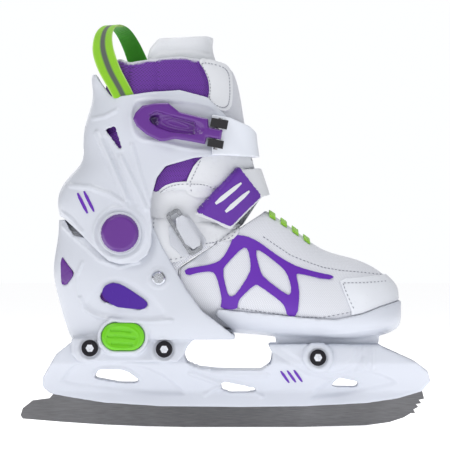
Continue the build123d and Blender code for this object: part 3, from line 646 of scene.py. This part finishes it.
dress("blade", STEEL)
dress("holder_bolts", BLACK_STEEL)
dress("bolt_washers", ZINC)
dress("holder_nuts", ZINC)
dress("spacer_sleeves", ZINC)
dress("cuff_pivot_pins", ZINC)
dress("buckle_pin", ZINC)
dress("strap_rivet", CHROME)
dress("shell_rivets", CHROME)
dress("strap_ring", CHROME)
dress("buckle_bracket", BLACK_PLASTIC)
dress("heel_vent_mesh", PURPLE_MESH)
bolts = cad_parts["holder_bolts"]
bolts.data.materials.append(CHROME)
for polygon in bolts.data.polygons:
    spot = np.array([polygon.center.x, polygon.center.z]) / MM
    polygon.material_index = int(min(math.dist(spot, axis) for axis in BOLTS) < SOCKET_REACH)


# ---------------------------------------------------------------- blade holder

holder = copy_node("holder_body", "blade_holder")
remesh(holder, 0.00115, 3)
mould(holder, [
    ("field", [(-117.9, 28.6), (-110.2, 38.4), (-102.5, 47.5), (-52.8, 46.1), (-25.5, 25.1), (-27.6, 20.9)],
     -1.3, 2.6, 0),
    ("rim", [(-90.7, 34.9), (-87, 40.8), (-71, 40.8), (-65.5, 38.7), (-56.4, 31.4), (-72.5, 31.6)], 1.1, 4, 0),
    ("rim", [(-3, 31.6), (1, 32.2), (22.3, 27.6), (23.5, 24.6), (5.6, 24.2), (-1, 26.5)], 0.8, 4, 0),
    ("rim", [(74, 28.8), (80.4, 35), (94.5, 32), (93, 28.6)], 0.8, 3.4, 0),
    ("field", [(57.7, 21.6), (77.3, 37), (99.8, 41.9), (122.1, 32.8), (119.3, 27.9), (61.9, 18.8)], -1.2, 2.6, 0),
    ("field", [(31.1, 60.8), (55.6, 44.7), (66.1, 39.1), (77.3, 37.7), (87.1, 42.6), (92.8, 55.2), (89.9, 60.8)],
     1.5, 2.4, 0),
    ("ridge", [(33.2, 53.8), (46.5, 45.4), (59.1, 38.4), (74.5, 34.9), (89.9, 39.1), (96.9, 51)], -0.7, 3, 0),
    ("ridge", [(97.6, 57.3), (97.6, 41.9)], 1.0, 2.4, 0), ("ridge", [(103.2, 57.3), (103.2, 41.2)], 1.0, 2.4, 0),
    ("ridge", [(-23.4, 38.4), (-5.9, 32.1), (11.5, 28.6), (26.9, 21.6)], 1.0, 3.4, 0),
    ("ridge", [(-12.9, 23), (-1, 30), (11.5, 27.2)], 0.8, 3, 0),
    ("ridge", [(-24.8, 49.6), (-22, 42.6), (-9.4, 38.4), (11.5, 37), (29.7, 37)], 0.9, 3.4, 0),
    (8.2, BOLTS[0], 0.9, 2.4, 0), (8.2, BOLTS[1], 0.9, 2.4, 0), (7.6, BOLTS[2], 0.8, 2.2, 0),
])
paint(holder, WHITE_PLASTIC)
put(holder, "chassis", "blade_holder")


# ---------------------------------------------------------------- heel shell, toe shell and cuff

TEAR = [(-84.3, 93), (-82.6, 99), (-77.1, 101.6), (-71, 100.7), (-63.1, 96), (-52.5, 88.5), (-52.5, 85.5),
        (-55, 83.2), (-63.1, 83.5), (-75.9, 85)]
heel = copy_node("heel_counter", "heel_shell")
remesh(heel, 0.00115, 2)
mould(heel, [
    ("field", [(-97.6, 87.4), (-92, 94.4), (-83.6, 104.2), (-71, 106.3), (-58.4, 100), (-44.4, 88.8), (-36, 76.2),
               (-58.4, 75.5), (-79.4, 76.9), (-92, 81.1)], -0.9, 3, 0),
    ("ridge", [(-99, 90.9), (-96.2, 83.2), (-87.8, 78.3), (-72.4, 75.5), (-54.2, 74.8), (-36, 75.5)], 1.1, 3, 0),
    ("ridge", [(-100.4, 90.9), (-101.8, 106.3), (-97.6, 115.4)], 0.6, 2.6, 0),
    ("ridge", [(-111.6, 140.6), (-97.6, 128), (-85, 116.8), (-71, 112.6), (-58.4, 116.1)], 1.0, 3, 0),
    ("ridge", [(-39.5, 123.8), (-30.4, 108.4), (-17.8, 94.4), (-1, 77.6)], 0.9, 3.4, 0),
    ("rim", TEAR, 0.8, 3, 0),
    (8.0, BOLTS[0], 0.9, 2.4, 0), (8.0, BOLTS[1], 0.9, 2.4, 0),
    (6.4, (-44.8, 104.7), 0.6, 2.6, 0),
])
paint(heel, WHITE_PLASTIC)
put(heel, "chassis", "heel_shell")

toe = copy_node("toe_tray", "toe_shell")
remesh(toe, 0.0011, 2)
mould(toe, [
    ("ridge", [(3.8, 85.6), (26.9, 82.5), (51, 79.7), (67.9, 79), (86.7, 82.8), (119.3, 91.9)], 0.5, 2.6, 0),
    ("ridge", [(5.9, 69.2), (26.9, 67.1), (53.5, 65), (81.5, 65.7), (109.5, 69.9)], 0.6, 3, 0),
])
paint(toe, WHITE_PLASTIC)
put(toe, "toe_section", "toe_shell")

BUCKLE_RECESS = [(-64.8, 224.6), (-52.8, 228.1), (-19.2, 226.7), (-1, 220.4), (-1, 192.4), (-22, 193.1),
                 (-44.4, 198.7), (-61.9, 200.8)]
cuff = copy_node("cuff_moulding", "cuff_shell")
remesh(cuff, 0.00105, 1)
mould(cuff, [
    ("field", BUCKLE_RECESS, -0.9, 3.5, OUTER),
    ("rim", BUCKLE_RECESS, 0.6, 3.4, OUTER),
    ("rim", [(-81.8, 207.3), (-74.8, 209.7), (-68, 188.2)], 0.6, 3.6, 0),
    ("ridge", [(-87.8, 205), (-78, 184), (-66.8, 158.8)], 1.3, 4.4, 0),
    ("ridge", [(-82.2, 200.8), (-71.8, 178.4), (-60.5, 155.3)], -0.9, 3.6, 0),
    ("ridge", [(-71, 188.2), (-62.6, 171.4), (-53.5, 152.5)], 1.3, 4.2, 0),
    ("ridge", [(-63.3, 196.6), (-57.7, 176.3), (-50.8, 154.6)], 0.9, 3.4, 0),
    ("ridge", [(-106, 168.6), (-92, 167.2), (-78, 162.3), (-67.5, 155.3)], 1.3, 4, 0),
    ("ridge", [(-92, 214.8), (-82.2, 216.2), (-73.8, 220.4)], 0.8, 3.4, 0),
    ("ridge", [(-113, 150.4), (-106, 146.2), (-97.6, 136.4)], 0.8, 3, 0),
    (17.8, PIVOT, 0.8, 3, 0),
])
paint(cuff, WHITE_PLASTIC)
put(cuff, "cuff", "cuff_shell")


# ---------------------------------------------------------------- upper: quarter, vamp, collar and tongue

quarter = copy_node("quarter_upper", "quarter")
remesh(quarter, 0.0014, 3)
paint(quarter, PALE_MESH)

vamp = copy_node("vamp_upper", "vamp")
remesh(vamp, 0.0013, 3)
paint(vamp, FINE_MESH)

collar = copy_node("collar_pad", "collar")
remesh(collar, 0.0016, 4)
tongue = copy_node("tongue_pad", "tongue")
remesh(tongue, 0.0015, 4)

COLLAR_EDGE = [(-120, 236), (-88, 240), (-78, 256), (-72, 257.4), (-65, 254), (-48, 256.5), (-30, 258), (-1, 254),
               (8, 247.7), (11, 238.6), (12, 230), (30, 224)]
pad_flat = points_of(collar)
binding = edge_distance(pad_flat[:, [0, 2]] / MM, COLLAR_EDGE, closed=False)
front_band = np.maximum(ramped(pad_flat[:, 0] / MM, 2.5, 3.5),
                        ramped(pad_flat[:, 0] / MM, -8, -7) * (1 - ramped(pad_flat[:, 2] / MM, 220, 221.5)))
mark(collar, "rim", np.maximum(1 - ramped(binding, 1.3, 2.0), front_band))
mould(collar, [
    ("ridge", [(-65.5, 230.2), (-66.8, 241.4), (-64.8, 249.8), (-62.6, 252.6)], -0.9, 3, 0),
    ("ridge", [(-46.5, 227.4), (-45.8, 240), (-46.5, 255.4)], -0.9, 3, 0),
    ("ridge", [(-11.5, 230.9), (-11.5, 240), (-14.3, 248.4), (-23.4, 257.5)], -1.0, 3, 0),
])
COLLAR_MESH = knitted("collar_mesh", srgb(98, 42, 148), 0.0017, 0.0003, 0.45, marks=(("rim", srgb(206, 208, 216)),))
paint(collar, COLLAR_MESH, LINER)
mould(tongue, [
    ("ridge", [(-52.8, 255.4), (-44.4, 262.4), (-23.4, 263.8), (-3.8, 259.6), (7.3, 245.6), (11.5, 228.8)],
     -0.8, 3, 0),
    ("ridge", [(-40.9, 269.4), (-38.8, 265.2), (-36.8, 261)], -0.8, 3, 0),
    ("ridge", [(-12.2, 272.2), (-7.3, 265.2), (-5.2, 258.2)], -0.7, 3, 0),
])
paint(tongue, WHITE_LEATHER)

quarter.data.materials.append(LINER)
for obj in (collar, quarter):
    centres = np.array([p.center[:] for p in obj.data.polygons])
    turned = np.array([p.normal[:] for p in obj.data.polygons])
    away = turned[:, 1] * centres[:, 1] + turned[:, 0] * (centres[:, 0] - LEG_X)
    obj.data.polygons.foreach_set("material_index", (away < 0).astype(np.int32))

skin = skin_of(collar, quarter, vamp)
both = ((OUTER, "outer"), (INNER, "inner"))
FLAP = [(-47.2, 161.6), (-44.4, 166.5), (-37.1, 170.3), (-26.2, 171.7), (-6.6, 170.7), (12.9, 153.2), (11.5, 133.6),
        (0.3, 128.7), (-19.2, 125.9), (-29, 115.4), (-45.8, 115.4), (-51.4, 137.8)]
PATCH = [(-49.3, 161.6), (-43.8, 179.1), (-30.4, 185), (-18.5, 188.2), (-26.9, 171.4), (-38.1, 168.6)]
FRONT = [(-19.2, 256.8), (-0.8, 253.5), (4.5, 249), (5.5, 238.6), (5.5, 228.8), (4, 221.1), (-1.8, 219.7),
         (-11.5, 226), (-9.4, 235.8), (-12.2, 247)]
FLAP_SEAM, FRONT_SEAM = 1 - 2.2 / 30, 0.87
for side, word in both:
    flap = lay("quarter_flap_" + word, FLAP, skin, side, 0.15, 1.2, 1.6)
    paint(flap, WHITE_LEATHER)
    flap_skin = skin_of(flap)
    put_soft(flap)
    patch = lay("ankle_patch_" + word, PATCH, skin, side, 0.1, 0.8, 1.4)
    paint(patch, PURPLE_MESH)
    put_soft(patch)
    front = lay("collar_front_" + word, FRONT, skin_of(collar), side, 0.1, 1.3, 1.5)
    paint(front, WHITE_LEATHER)
    put(front, "cuff")
    put_soft(run_stitches("flap_stitches_" + word, shrunk(rounded(FLAP), FLAP_SEAM), flap_skin, side, THREAD,
                          closed=True))
    put(run_stitches("front_stitches_" + word, shrunk(rounded(FRONT), FRONT_SEAM), skin_of(front), side, THREAD,
                     closed=True), "cuff")
put(quarter, "chassis", "quarter")
ankle_pieces = ((collar, "purple_mesh", "collar"), (tongue, "white_leather", "tongue"))

TOE_SEAM = [(5.9, 84.6), (26.9, 81.4), (51, 78.3), (67.9, 77.6), (86.7, 81.1), (117.9, 90.5)]
toe_skin = skin_of(toe, vamp)
seam_skin = skin_of(vamp)
for side, word in both:
    put(run_stitches("toe_stitches_" + word, TOE_SEAM, toe_skin, side, THREAD, 3.0), "toe_section")

LATTICE = [(-27.3, 110.8), (-16.4, 112.7), (-7.3, 114.3), (-1, 117.5), (3.8, 125.2), (5.9, 130.8), (7.3, 134.6),
           (16.4, 133.2), (24.1, 129.7), (34.2, 122.1), (43.3, 116.1), (51.2, 112.1), (64, 108.4), (77.1, 105.6),
           (71.8, 103.1), (51.8, 107.9), (49.8, 107), (51.4, 100.7), (52.3, 93), (50.8, 78.5), (44.2, 78.5),
           (42.2, 85.5), (39.2, 89), (24.1, 100), (21.3, 100), (12.2, 91.6), (10.1, 88.1), (9.6, 83), (-2.4, 83.9),
           (-1, 88.8), (-2.1, 95.8), (-4.5, 104.9), (-7.3, 109.4), (-16.4, 108.6), (-25.5, 106)]
LEFT_CELL = [(13.4, 126), (16.9, 124.7), (18.9, 115.1), (18.4, 108.1), (9.1, 93.7), (4.8, 91.6), (2.4, 94.8),
             (-0.8, 109.8), (2.4, 114.7)]
RIGHT_CELL = [(21.8, 123.5), (25.1, 124), (38.1, 114), (43.5, 108.4), (46.7, 99), (46.3, 93.7), (43.8, 93),
              (27.9, 104.9), (25.1, 110.1)]
lattices, seams = [], []
TOP_SEAM = [(26.9, 133.6), (36, 127.3), (46.5, 120.3), (57, 116.1), (68.9, 111.9), (81.5, 109.8), (96.9, 108.4),
            (113.7, 106.3)]
for side, word in both:
    film = lay("lattice_film_" + word, LATTICE, skin_of(vamp), side, 0.35, 0.7, 0.9, turns=1,
               holes=(LEFT_CELL, RIGHT_CELL))
    paint(film, PURPLE_FILM)
    lattices.append(film)
    seams.append(run_stitches("vamp_stitches_" + word, TOP_SEAM, seam_skin, side, THREAD, 2.8))
cap = copy_node("toe_cap_film", "toe_cap_overlay")
remesh(cap, 0.0006, 2)
paint(cap, GLOSS_LEATHER)
put(cap, "toe_section", "toe_cap_overlay")
laces = copy_node("lace_rows", "laces")
remesh(laces, 0.0006, 2)
paint(laces, LACE_TAPE)
for obj, slot_name, node in ((vamp, "white_upper", "vamp"), (lattices[0], "purple_overlay", "lattice_overlay"),
                             (lattices[1], "purple_overlay", None), (seams[0], "white_upper", None),
                             (seams[1], "white_upper", None), (laces, "white_laces", "laces")):
    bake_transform(obj)
    if node:
        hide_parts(node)

cap_skin = skin_of(cap, vamp)
for side, word in both:
    put(run_stitches("cap_stitches_" + word, [(113.7, 102.4), (95.5, 101.4), (82.2, 101.4), (83.6, 97.2),
                                              (87.1, 88.8), (89.9, 83.2)], cap_skin, side, THREAD, 2.6),
                                              "toe_section")

footbed = copy_node("insole", "footbed")
remesh(footbed, 0.0014, 3)
paint(footbed, LINER)
put(footbed, "chassis", "footbed")


# ---------------------------------------------------------------- instep strap, ring and tab

instep = copy_node("instep_pad", "instep_strap")
remesh(instep, 0.0006, 3)
PAD = [(6.1, 177.3), (10.8, 182.1), (13.2, 179.1), (24.4, 164.5), (26.8, 161.4), (23.5, 158.1), (8, 142.3),
       (4.8, 138.9), (1, 140.6), (-16.6, 148.3), (-19.7, 150), (-17.5, 153.2), (-10.1, 160.3)]
paint(instep, WHITE_LEATHER)
put(instep, "chassis", "instep_strap")
pad_hull = hull_of("pad_hull", instep)
pad_skin = skin_of(pad_hull)
edge = lay("instep_edge", PAD, pad_skin, OUTER, 0.2, 1.0, 0.9, turns=2)
paint(edge, WHITE_LEATHER)
put(edge, "chassis")
face = lay("instep_face", shrunk(PAD, 0.93), pad_skin, OUTER, 1.1, 0.9, 0.9, turns=2)
paint(face, PURPLE_PAD)
put(face, "chassis")
face_skin = skin_of(face)
for number, bar in enumerate(([(-6.6, 157.4), (11.5, 171.4), (12.9, 169.3), (-4.5, 154.6)],
                              [(0.3, 151.8), (17.1, 165.8), (18.5, 163.7), (2.4, 149)])):
    stripe = lay(f"instep_bar_{number}", bar, face_skin, OUTER, 0.05, 0.3, 0.6, turns=1, ease=0)
    paint(stripe, WHITE_LEATHER)
    put(stripe, "chassis")
drop(pad_hull)
tab = copy_node("ring_webbing", "ring_tab")
remesh(tab, 0.0005, 3)
paint(tab, WHITE_TAPE)
ring_hull = hull_of("ring_hull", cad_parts["strap_ring"], tab)
wrap = lay("ring_wrap", [(-35.3, 144.8), (-26.2, 149.3), (-13.6, 128.7), (-23.4, 123.1)],
           skin_of(ring_hull), OUTER, 0.1, 1.0, 0.9, turns=1)
paint(wrap, WHITE_TAPE)
put(wrap, "chassis")
drop(ring_hull)
put(tab, "chassis", "ring_tab")


# ---------------------------------------------------------------- pull loop

LOOP_PATH = [(-68.5, -33.5, 229), (-72, -33.5, 236), (-79, -32.5, 249), (-83.5, -29, 263), (-83, -20, 274.5),
             (-78.5, -6, 280.2), (-72.5, 8, 279), (-67.5, 19, 272.5), (-63, 26, 263), (-59, 29, 252),
             (-56.5, 29.5, 243)]
LOOP_LEAN = [(1, 0, 0.05), (1, 0, 0.1), (1, 0.05, 0.2), (0.95, 0.2, 0.3), (0.8, 0.5, 0.2), (0.75, 0.6, 0.1),
             (0.8, 0.5, 0.0), (0.9, 0.35, -0.1), (0.95, 0.2, -0.1), (1, 0.1, 0), (1, 0, 0)]
runs, rows = 64, 12
bpy.ops.mesh.primitive_grid_add(x_subdivisions=rows, y_subdivisions=runs, size=1)
loop = bpy.context.object
loop.name = "pull_loop_tape"
grid = points_of(loop)
station = (grid[:, 1] + 0.5) * (len(LOOP_PATH) - 1)
path, lean = np.array(LOOP_PATH, float), np.array(LOOP_LEAN, float)
lean /= np.linalg.norm(lean, axis=1)[:, None]


def eased(values, at):
    """Curve through a row of points, each span blended by its neighbours' slopes."""
    index = np.clip(at.astype(int), 0, len(values) - 2)
    t = (at - index)[:, None]
    slopes = np.gradient(values, axis=0)
    a, b, sa, sb = values[index], values[index + 1], slopes[index], slopes[index + 1]
    return ((2 * t**3 - 3 * t**2 + 1) * a + (t**3 - 2 * t**2 + t) * sa
            + (3 * t**2 - 2 * t**3) * b + (t**3 - t**2) * sb)


half_tape = 7.6
set_points(loop, (eased(path, station) + eased(lean, station) * (grid[:, :1] * 2 * half_tape)) * MM)
mark(loop, "stripe", 1 - ramped(np.abs(grid[:, 0]), 0.11, 0.13))
mark(loop, "selvedge", ramped(np.abs(grid[:, 0]), 0.44, 0.46))
# painted shade: the far half of the loop, past its top, is marked for a darker green
mark(loop, "far_limb_painted_shade", ramped(grid[:, 1], 0.02, 0.06))
thick = loop.modifiers.new("thick", "SOLIDIFY")
thick.thickness, thick.offset = 0.0014, 0
soft = loop.modifiers.new("soft", "SUBSURF")
soft.levels = soft.render_levels = 1
apply_all(loop)
smooth(loop, 60)
tape = Finish("loop_tape", srgb(140, 196, 40), 0.62, Sheen_Weight=0.25)
x_axis, y_axis, z_axis = tape.axes()
slope = tape.sums("ADD", x_axis, tape.sums("ADD", z_axis, tape.sums("MULTIPLY", y_axis, 0.7)))
weave = tape.sums("MULTIPLY", tape.wave(slope, 0.0012), tape.wave(tape.sums("SUBTRACT", x_axis, z_axis), 0.0012))
height = tape.sums("ADD", tape.sums("MULTIPLY", weave, 0.5), 0.5)
tape.colour(tape.ramp(height, [(0.1, srgb(112, 186, 0)), (0.8, srgb(160, 222, 24))]))
striped(tape, "selvedge", srgb(190, 230, 120))
striped(tape, "stripe", srgb(84, 92, 86))
# painted shade: a darker copy of the tape's green laid on the far limb
striped(tape, "far_limb_painted_shade", srgb(58, 170, 0))
tape.bump(height, 0.0003, 0.8)
paint(loop, tape.material)
put(loop, "cuff", "pull_loop")


# ---------------------------------------------------------------- buckle strap and lever

strap = copy_node("strap_band", "buckle_strap")
remesh(strap, 0.0008, 2)
paint(strap, STRAP_PLASTIC)
put(strap, "buckle_strap", "buckle_strap")

lever = copy_node("lever_spoon", "buckle_lever")
remesh(lever, 0.00045, 6)
HOLLOW = [(-52.1, 214.1), (-49.3, 217.2), (-43, 218.3), (-31.8, 216.5), (-12.2, 211.6), (-13.6, 202.2),
          (-30.4, 203.6), (-41.6, 207.1), (-49.3, 209.9)]
spoon = points_of(lever)[:, [0, 2]] / MM
# painted shade: the hollow's floor is coloured dark purple, easing in over 1.2 mm from its rim and fading out at its
# rear end
shadow = np.where(inside(spoon, rounded(HOLLOW)), ramped(edge_distance(spoon, rounded(HOLLOW)), 0, 1.2), 0)
shadow *= 1 - ramped(spoon[:, 0], -48.5, -43)
mark(lever, "hollow", shadow)
mould(lever, [
    ("field", HOLLOW, -1.3, 2.4, 0),
    ("field", [(-52.1, 214.1), (-49.3, 217.2), (-44.4, 217.2), (-42.3, 214.1), (-45.1, 209.9), (-49.3, 209.9)],
     -1.2, 2.4, 0),
    ("rim", [(-46.5, 214.1), (-41.6, 216.5), (-31.8, 215.1), (-14.3, 209.9), (-15.7, 204.3), (-30.4, 205.3),
             (-40.9, 208.1), (-45.8, 210.9)], 0.35, 1.1, 0),
    ("rim", [(-43, 213.7), (-38.8, 215.1), (-30.4, 213.4), (-17.8, 209.5), (-18.5, 206), (-29.7, 207.1),
             (-38.8, 209.5), (-42.3, 211.6)], 0.35, 1.0, 0),
    ("rim", [(-39.5, 213), (-35.3, 213.7), (-29, 211.6), (-23.4, 209.2), (-24.8, 207.8), (-30.4, 208.8),
             (-36.8, 210.6)], 0.3, 0.9, 0),
])
paint(lever, LEVER_PLASTIC)
put(lever, "buckle_lever", "buckle_lever")

button = copy_node("release_button", "size_button")
remesh(button, 0.00045, 2)
mould(button, [
    ("ridge", [(-77.3, 68.8), (-71, 68.8), (-64, 67.8)], -0.8, 2.2, 0),
    ("ridge", [(-79.4, 64.6), (-70.3, 64.3), (-61.2, 63.2)], -0.8, 2.2, 0),
    ("ridge", [(-76.6, 59.7), (-70.3, 59.4), (-63.3, 58.7)], -0.8, 2.2, 0),
    ("rim", [(-82.2, 64.3), (-78, 71.3), (-68.2, 72), (-59.8, 68.5), (-57.7, 62.2), (-61.2, 56.6), (-72.4, 55.9),
             (-80.8, 58.7)], 0.35, 2, 0),
])
paint(button, GREEN_PLASTIC)
put(button, "size_button", "size_button")

spring = copy_node("return_springs", "button_spring")
paint(spring, ZINC)
smooth(spring, 60)
put(spring, "chassis", "button_spring")
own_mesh(spring)

CAP_RADIUS = 13.0
caps = copy_node("pivot_domes", "pivot_caps")
remesh(caps, 0.0004, 3)
mould(caps, [(13.3, PIVOT, -0.5, 1.2, 0)])
paint(caps, PURPLE_PLASTIC, WHITE_PLASTIC)
ring_reach = np.array([math.dist((p.center.x / MM, p.center.z / MM), PIVOT) for p in caps.data.polygons])
caps.data.polygons.foreach_set("material_index", (ring_reach > CAP_RADIUS).astype(np.int32))
put(caps, "chassis", "pivot_caps")


# ---------------------------------------------------------------- ankle gusset and window inlays

GUSSET_LOW, GUSSET_HIGH, GUSSET_BACK = 0.137, 0.199, -0.068
gusset = hull_of("ankle_gusset", collar, quarter, tongue, low=GUSSET_LOW - 0.005, high=GUSSET_HIGH + 0.006)
only(gusset)
bpy.ops.object.mode_set(mode="EDIT")
for height, top in ((GUSSET_LOW, False), (GUSSET_HIGH, True)):
    bpy.ops.mesh.select_all(action="SELECT")
    bpy.ops.mesh.bisect(plane_co=(0, 0, height), plane_no=(0, 0, 1), clear_outer=top, clear_inner=not top)
bpy.ops.mesh.select_all(action="SELECT")
bpy.ops.mesh.bisect(plane_co=(GUSSET_BACK, 0, 0), plane_no=(1, 0, 0), clear_inner=True)
bpy.ops.object.mode_set(mode="OBJECT")
shell = gusset.modifiers.new("shell", "SOLIDIFY")
shell.thickness, shell.offset = 0.0018, -1
fine = gusset.modifiers.new("fine", "REMESH")
fine.mode, fine.voxel_size = "VOXEL", 0.0016
apply_all(gusset)
gusset_points = points_of(gusset)
flat_centre = np.array([-0.045, 0, 0])
drawn_in = np.array([0.955, 0.955, 1])
set_points(gusset, flat_centre + (gusset_points - flat_centre) * drawn_in)
soften = gusset.modifiers.new("ease", "SMOOTH")
soften.factor, soften.iterations = 0.5, 6
apply_all(gusset)
smooth(gusset, 60)
paint(gusset, WHITE_LEATHER)

ANKLE = [(-17.1, 188.9), (1, 193.1), (22, 192.4), (26.9, 188.2), (25.5, 181.2), (12.9, 181.2), (0.3, 167.2),
         (-10.8, 159.5), (-25.5, 161.6), (-26.9, 170)]
for side, word in both:
    ankle_skin = skin_of(collar, gusset)
    ankle = lay("ankle_panel_" + word, ANKLE, ankle_skin, side, 0.1, 1.0, 1.5)
    paint(ankle, WHITE_LEATHER)
    ankle_seam = run_stitches("ankle_stitches_" + word, [(-15.7, 186.1), (-23.4, 170), (-22, 163.7)],
                              skin_of(ankle), side, THREAD)
    put_soft(ankle)
    put_soft(ankle_seam)
put_soft(gusset)
for obj, slot_name, node in ankle_pieces:
    put_soft(obj, node)

heel_hull = hull_of("heel_hull", heel, low=0.068)
SMALL = [(-112.9, 120.3), (-108.1, 114), (-103.7, 108.1), (-105.2, 104.2), (-109.3, 99.6), (-112.6, 100.1)]
heel_skin = skin_of(heel_hull)
for side, word in both:
    for name, outline, material in (("heel_tear_", TEAR, VIVID_PURPLE), ("heel_small_", SMALL, PURPLE_PLASTIC)):
        inlay = lay(name + word, outline, heel_skin, side, -0.2, 0.9, 0.9, turns=1, ease=12)
        paint(inlay, material)
        put(inlay, "chassis")
drop(heel_hull)


# ---------------------------------------------------------------- plain slash motifs

def slashes(name, bars, target, side, body, material):
    for number, bar in enumerate(bars):
        piece = lay(f"{name}_{number}", bar, skin_of(target), side, 0.06, 0.35, 0.7, turns=1, ease=0)
        paint(piece, material)
        put(piece, body)


for side, word in both:
    slashes("holder_slash_" + word, [[(38.8, 39.8), (40.7, 40.1), (46.5, 31.7), (44.7, 31.4)],
                                     [(43.4, 40.1), (45.1, 40.5), (51.1, 32.1), (49.3, 31.7)],
                                     [(47.9, 40.5), (49.8, 40.8), (55.6, 32.4), (53.8, 32.1)]],
                                     holder, side, "chassis", PURPLE_FILM)
    slashes("cuff_slash_" + word, [[(-101.8, 163), (-99.8, 163.7), (-92.8, 149.7), (-94.8, 149)],
                                   [(-97.3, 164.4), (-95.2, 164.7), (-88.2, 150.7), (-90.3, 150.4)]],
            cuff, side, "cuff", PURPLE_FILM)

set_stage()
